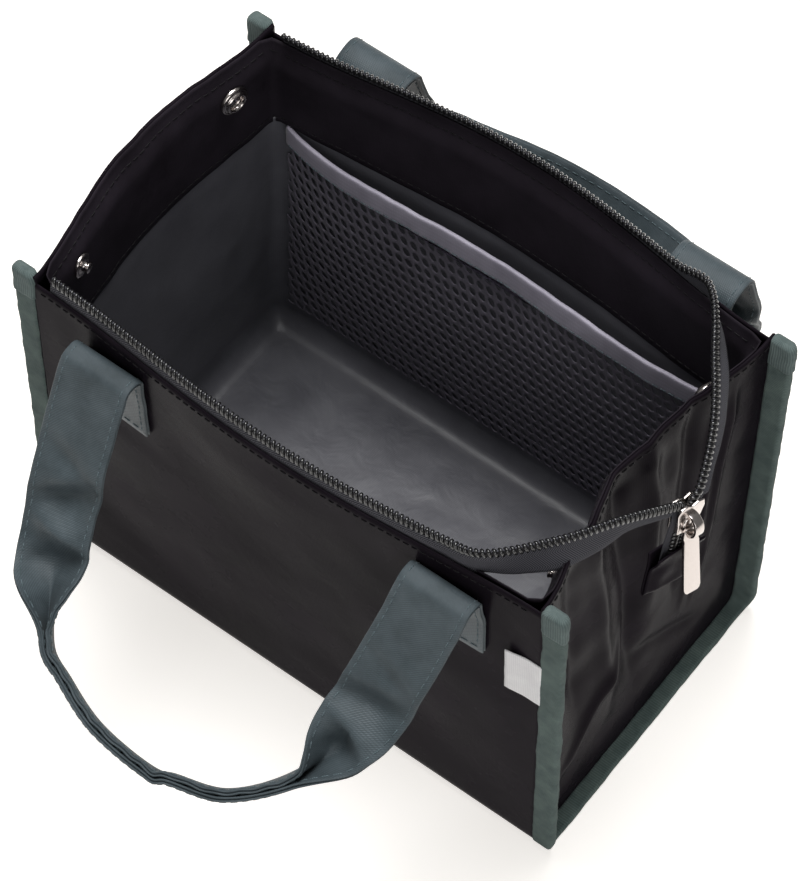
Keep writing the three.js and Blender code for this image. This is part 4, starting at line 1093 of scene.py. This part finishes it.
def strapStations(side):
    # along the strap: a function that places (across, off the face), and how far it is folded shut
    fold = handles[side]
    half = strap["thickness"] / 2
    seatX = strap["centre"] - strap["width"] / 2
    seat = wallAt(side, seatX, fold["height"], strap["gap"] + strap["thickness"]).y
    hinge = seat + side * (strap["gap"] + fold["radius"])
    midRadius = fold["radius"] - half
    wide = midRadius + strap["thickness"] + strap["gap"]  # the fold opens out to meet the tab
    legTilt, gripTilt = math.radians(fold["legTilt"]), math.radians(fold["gripTilt"])
    startTurn = math.pi / 2 - legTilt

    def tabStation(hand, z):
        def place(s, n):
            x = hand * strap["centre"] - hand * s
            seated = outerAt(side, x, z, strap["seat"] - n)
            free = Vector((x, hinge - side * (wide + n), z))
            return seated.lerp(free, ease(fold["height"] - strap["liftOff"], fold["height"], z))
        return place, 0.0

    def archStation(hand, turn):
        radius = mix(midRadius, wide, ease(math.pi / 2, math.pi, turn))

        def place(s, n):
            x = hand * strap["centre"] - hand * s
            out, up = (radius + n) * math.cos(turn), (radius + n) * math.sin(turn)
            return Vector((x, hinge + side * out, fold["height"] + up))
        return place, 0.0

    def profile(reach):
        out, up, tilt = midRadius * math.cos(startTurn), midRadius * math.sin(startTurn), legTilt
        step = reach / strap["tiltSteps"]
        for i in range(strap["tiltSteps"]):
            tilt = mix(legTilt, gripTilt, ease(*strap["tiltRun"], (i + 0.5) * step))
            out += math.cos(tilt) * step
            up -= math.sin(tilt) * step
        return out, up, tilt

    legs = {hand: [(1.0, -8.0), (1.0, 0.0)] + fold[sideNames[hand].lower()] for hand in (-1, 1)}
    middleShare, middleReach = fold["middle"]
    shares = [(-share, reach) for share, reach in legs[-1]] + [(middleShare, middleReach)] + legs[1][::-1]
    plan = [Vector((share * strap["centre"], reach, 0)) for share, reach in shares]

    def planStation(along):
        at, slope = routeAt(plan, along)
        out, up, tilt = profile(max(at.y, 0.0))
        middle = Vector((at.x, hinge + side * out, fold["height"] + up))
        hoist = ease(*strap["hoistRun"], at.y) * (1 - ease(*strap["hoistSpread"], at.x))
        middle.z += fold["hoist"] * hoist  # the left leg stands up more
        downhill = Vector((0, side * math.cos(tilt), -math.sin(tilt)))
        ahead = (Vector((slope.x, 0, 0)) + downhill * slope.y).normalized()
        leg = legs[-1 if along < (len(plan) - 1) / 2 else 1]
        pinch = leg[4][1]  # the third place down the leg is folded shut
        shut = ease(pinch - strap["foldLength"], pinch, at.y)
        tip = shut * math.tan(math.radians(fold["gripLean"]))
        normal = Vector((tip, side * math.sin(tilt), math.cos(tilt)))
        normal = (normal - ahead * normal.dot(ahead)).normalized()
        across = normal.cross(ahead) * -side
        return (lambda s, n: middle + across * s + normal * n), shut

    tabLow = fold["height"] + strap["tabRise"] - strap["tabLength"]
    tab = [mix(tabLow, fold["height"], i / strap["tabSteps"]) for i in range(strap["tabSteps"])]
    arch = [mix(math.pi, startTurn, i / strap["archSteps"]) for i in range(strap["archSteps"])]
    steps = strap["spanSteps"]
    stations = [tabStation(-1, z) for z in tab] + [archStation(-1, turn) for turn in arch]
    stations += [planStation(1 + i / steps) for i in range((len(plan) - 3) * steps + 1)]
    stations += [archStation(1, turn) for turn in reversed(arch)] + [tabStation(1, z) for z in reversed(tab)]
    return stations


def strapSection(d, shut):  # middle line of the folded strap, d from its centre: place and way off the face
    turn = shut * math.pi / 2
    crease = strap["crease"]
    flat = max(abs(d) - crease * turn, 0.0)  # beyond the bend
    hand = 1 if d >= 0 else -1
    if turn < 0.001:
        return d, 0.0, 0.0, 1.0
    a = min(abs(d) / crease, turn)
    s = crease * math.sin(a) + flat * math.cos(a)
    n = crease * (1 - math.cos(a)) + flat * math.sin(a)
    return hand * s, n, -hand * math.sin(a), math.cos(a)


for side, where in wallNames.items():
    stations = strapStations(side)
    runs = [0.0]
    for i in range(1, len(stations)):
        runs.append(runs[-1] + (stations[i][0](0, 0) - stations[i - 1][0](0, 0)).length)
    total = runs[-1]
    half = strap["width"] / 2
    thick = strap["thickness"] / 2

    def strapAt(index, d, lift):  # index counts stations, d from the centre line, lift off the middle line
        i = min(int(index), len(stations) - 2)
        w = abs(d) / half
        spots = []
        for k in (i, i + 1):
            place, shut = stations[k]
            run = runs[k]
            fromEnd = min(run, total - run)
            lipTurn = 2 * math.pi * run / strap["lipRun"] + 2 * swell(20, run, 0, 3.0)
            lip = strap["lipWave"] * math.sin(lipTurn) * w ** 4 * shut * (d > 0)
            rollTurn = 2 * math.pi * run / strap["rippleRun"] + 2.4 * swell(34, run, d * 0.4, 1.0)
            roll = strap["ripple"] * math.sin(rollTurn)
            for down, slant, deep, long in strap["dents"]:
                away = fromEnd - down - slant * d / half * (1 if run < total / 2 else strap["dentMirror"])
                roll += deep * math.exp(-(abs(away) / long) ** strap["dentSharpness"])
            roll = (roll * (1 - strap["dentTaper"] * w * w) + strap["curl"] * w ** 3) * (1 - shut)
            s, n, ns, nn = strapSection(d * (1 + 0.012 * swell(9, run, 0, 5.0 + (d > 0))), shut)
            off = lift + (lip + roll) * ease(*strap["freeRun"], fromEnd)
            spots.append(place(s + ns * off, n + nn * off))
        return spots[0].lerp(spots[1], index - i)

    flat = half - strap["edgeRound"]
    loop = [(mix(-flat, flat, i / strap["faceSteps"]), thick) for i in range(strap["faceSteps"] + 1)]
    groove = half - strap["edgeGroove"]  # between the two layers
    edge = [(half - 0.1, thick * 0.75), (half, thick * 0.45), (groove, thick * 0.12)]
    loop += edge + [(d, -lift) for d, lift in reversed(edge)]
    loop += [(-d, -lift) for d, lift in loop]

    def strapPlace(u, v):
        d, lift = loop[int(round(u * len(loop))) % len(loop)]
        return strapAt(v * (len(stations) - 1), d, lift)
    bm = layCloth(len(loop), len(stations) - 1, (strap["girth"], total), strapPlace, closed=True)
    closeEnds(bm)
    handle = where.lower() + "_handle"
    stands = [handle + "_strap", handle + "_tab_left", handle + "_tab_right"]
    strapPiece = addPiece(where.lower() + "HandleStrap", bm, strapTwill, stands, body=None)
    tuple(handles[side]["start"])
    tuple(handles[side]["end"])
    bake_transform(strapPiece)

    def strapRun(run, d, lift):  # the same by distance along the strap
        return strapAt(sum(spanAt(runs, run)), d, lift)
    seams = []
    inset = half - strap["stitchInset"]
    start = strap["stitchStart"]
    for d in (-inset, inset):
        for face in (-1, 1):
            seams += stitchRuns(
                lambda a, lift: strapRun(a, d, face * (thick + lift)),
                total - start, stitch=strap["stitch"], start=start)
    for end in (strap["endSeam"], total - strap["endSeam"]):  # across the tabs' lower ends
        seams += stitchRuns(lambda a, lift: strapRun(end, a - inset, -(thick + lift)), 2 * inset)
    name = where.lower() + "HandleStitching"
    stitching = addThreads(name, seams, thread["strapRadius"], strapThread, body=None)
    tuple(handles[side]["start"])
    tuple(handles[side]["end"])
    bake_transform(stitching)
print("handles sewn")

# Snaps: turned rings on the facing of the side panels, a socket towards the back, a stud towards the front
snap = {
    "z": 186.0, "proud": 0.9, "steps": 40, "places": {"socket": 46.0, "stud": -50.0},
    # (radius, height) from the facing up, round to the middle
    "socket": [
        (7.0, 0.0), (7.0, 0.7), (6.7, 1.3), (6.1, 1.6), (5.5, 1.4), (5.3, 2.0), (4.9, 2.7), (4.2, 2.9),
        (3.7, 2.6), (3.5, 1.0), (3.3, 0.4), (2.3, 0.4), (2.1, 1.2), (1.5, 1.5), (0.0, 1.5),
    ],
    "stud": [
        (5.5, 0.0), (5.5, 0.6), (5.2, 1.0), (4.4, 1.1), (3.6, 1.0), (2.9, 1.3), (2.4, 1.7), (2.0, 2.4),
        (2.1, 3.0), (2.45, 3.4), (2.4, 3.8), (1.8, 4.1), (0.0, 4.2),
    ],
}


def snapPlace(side, y):
    def at(dy, dz):
        return settle(side * (bag["halfWidth"] - bag["lining"]), y + dy, snap["z"] + dz)
    up = (at(0, 1) - at(0, -1)).normalized()
    along = (at(1, 0) - at(-1, 0)).normalized()
    inward = (along.cross(up) * -side).normalized()
    turned = Matrix((up.cross(inward), up, inward)).transposed().to_4x4()
    turned.translation = at(0, 0) + inward * snap["proud"]
    return turned


for side, hand in sideNames.items():
    for kind, y in snap["places"].items():
        bm = bmesh.new()
        bm.loops.layers.uv.new("cloth")
        spinProfile(bm, [(r, 0, h) for r, h in snap[kind]], (0, 0, 1), snap["steps"])
        bmesh.ops.recalc_face_normals(bm, faces=bm.faces)
        bmesh.ops.transform(bm, matrix=snapPlace(side, y), verts=bm.verts)
        node = f"snap_{kind}_{hand.lower()}"
        addPiece("snap" + kind.capitalize() + hand, bm, nickel, [node])
        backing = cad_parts[node + "_backing"]
        backing.data.materials.clear()
        backing.data.materials.append(nickel)

# Blank label caught in the front right seam
label = {
    "columns": 14, "rows": 26, "width": 16.5, "low": 127.0, "height": 31.0, "thickness": 0.45,
    "seamReach": 0.6, "seat": 0.55, "flare": 1.6, "flareRun": 0.6, "sway": (0.6, 10), "ruck": (0.25, 8),
}


def labelPlace(u, v):
    x = bag["halfWidth"] + label["seamReach"] - label["width"] * (1 - u)
    (sway, swayRun), (ruck, ruckRun) = label["sway"], label["ruck"]
    z = label["low"] + label["height"] * v + sway * swell(swayRun, x, 0, 4.0)
    flare = label["flare"] * (1 - ease(0, label["flareRun"], u)) * (0.5 + 0.5 * v)
    return outerAt(-1, x, z, label["seat"] + flare + ruck * swell(ruckRun, x, z, 2.0))


bm = layCloth(label["columns"], label["rows"], (label["width"], label["height"]), labelPlace, towards=1)
blankLabel = addPiece(
    "blankLabel", bm, labelSatin, ["side_label"], thickness=label["thickness"])

# Black topstitching along the rim outside and in, and along the facing's lower edge
rimStitch = {"wallHalf": 121.0, "wallDrop": 5.0, "sideHalf": 70.0, "sideDrop": 3.2}


def wallSeam(side, a, lift):
    z = bag["rim"] - rimStitch["wallDrop"]
    return outerAt(side, a - rimStitch["wallHalf"], z, thread["clear"] + lift)


def sideSeam(side, a, lift):
    y = a - rimStitch["sideHalf"]
    return sideAt(side, y, gussetTop(y) - rimStitch["sideDrop"], thread["clear"] + lift)


def facingSeam(row, a, lift):
    return facingPlace(min(a / innerRun, 0.9999), row, thread["clear"] + lift)


def hemSeam(a, lift):
    off = net["hemThickness"] + net["hemStitchLift"] + lift
    return netPlace(a - net["stitchHalf"], net["high"] + net["stitchRise"], off)


topstitch = thread["topstitch"]
rimSeams = []
for side in (-1, 1):
    rimSeams += stitchRuns(lambda a, lift: wallSeam(side, a, lift), 2 * rimStitch["wallHalf"], **topstitch)
    rimSeams += stitchRuns(lambda a, lift: sideSeam(side, a, lift), 2 * rimStitch["sideHalf"], **topstitch)
for row in facing["stitchRows"]:
    rimSeams += stitchRuns(lambda a, lift: facingSeam(row, a, lift), innerRun, **topstitch)
addThreads("rimStitching", rimSeams, thread["radius"], blackThread)
hemSeams = stitchRuns(hemSeam, 2 * net["stitchHalf"], **topstitch)
addThreads("hemStitching", hemSeams, thread["radius"], strapThread)
print("snaps, label and topstitching done")

# Studio: pale floor, soft light from above and behind, the photograph's viewpoint, in metres
studio = {
    "camera": (0.5830, -0.7746, 1.7239), "target": (0.0005, 0.0001, 0.1037), "lens": 187.4, "sensor": 36.0,
    "world": 0.17, "floorHalf": 4.0, "floorDrop": 0.0002, "floorGlow": 0.6, "lampTarget": (0, 0, 0.1),
    # place, watts, size
    "lamps": {"keySoftbox": ((-0.3, 0.3, 1.9), 36.0, 1.1), "fillSoftbox": ((0.9, -0.9, 0.9), 6.0, 0.9)},
}
bm = bmesh.new()
bmesh.ops.create_grid(bm, x_segments=1, y_segments=1, size=studio["floorHalf"])
floorMesh = bpy.data.meshes.new("studioFloor")
bm.to_mesh(floorMesh)
bm.free()
floor = bpy.data.objects.new("studioFloor", floorMesh)
floor.location.z = -studio["floorDrop"]
scene.collection.objects.link(floor)
# Matt paper sweep: white, lifted a little where the camera looks at it so that it reads as paper white
paper, tree, shader = newMaterial("paperSweep", Roughness=0.9, Emission_Color=srgb("#fffbf6"))
rays = addNode(tree, "ShaderNodeLightPath").outputs
place = addNode(tree, "ShaderNodeTexCoord").outputs["Object"]
grain = addNode(tree, "ShaderNodeTexNoise", {"Vector": place, "Scale": 30.0, "Detail": 2.0}).outputs["Fac"]
shade = addNode(tree, "ShaderNodeMix", {0: grain, 6: srgb("#eceae7"), 7: srgb("#f1efec")}, data_type="RGBA")
seenBy = {0: rays["Is Camera Ray"], 1: rays["Is Glossy Ray"]}
seen = addNode(tree, "ShaderNodeMath", seenBy, operation="MAXIMUM").outputs[0]
glow = addNode(tree, "ShaderNodeMath", {0: seen, 1: studio["floorGlow"]}, operation="MULTIPLY")
tree.links.new(shade.outputs[2], shader.inputs["Base Color"])
tree.links.new(glow.outputs[0], shader.inputs["Emission Strength"])
floorMesh.materials.append(paper)

world = bpy.data.worlds.new("softStudio")
scene.world = world
world.use_nodes = True
back = world.node_tree.nodes["Background"]
back.inputs["Color"].default_value = (1.0, 1.0, 1.0, 1.0)
back.inputs["Strength"].default_value = studio["world"]


def standAt(name, data, place, target):  # a lamp or a camera, turned to look at target
    holder = bpy.data.objects.new(name, data)
    holder.location = place
    holder.rotation_euler = (Vector(target) - Vector(place)).to_track_quat("-Z", "Y").to_euler()
    scene.collection.objects.link(holder)
    return holder


for name, (place, power, size) in studio["lamps"].items():
    lamp = bpy.data.lights.new(name, "AREA")
    lamp.energy = power
    lamp.size = size
    standAt(name, lamp, place, studio["lampTarget"])

lens = bpy.data.cameras.new("photoView")
lens.lens = studio["lens"]
lens.sensor_fit = "VERTICAL"
lens.sensor_height = studio["sensor"]
scene.camera = standAt("photoView", lens, studio["camera"], studio["target"])
scene.view_settings.view_transform = "Standard"

print("scene finished")
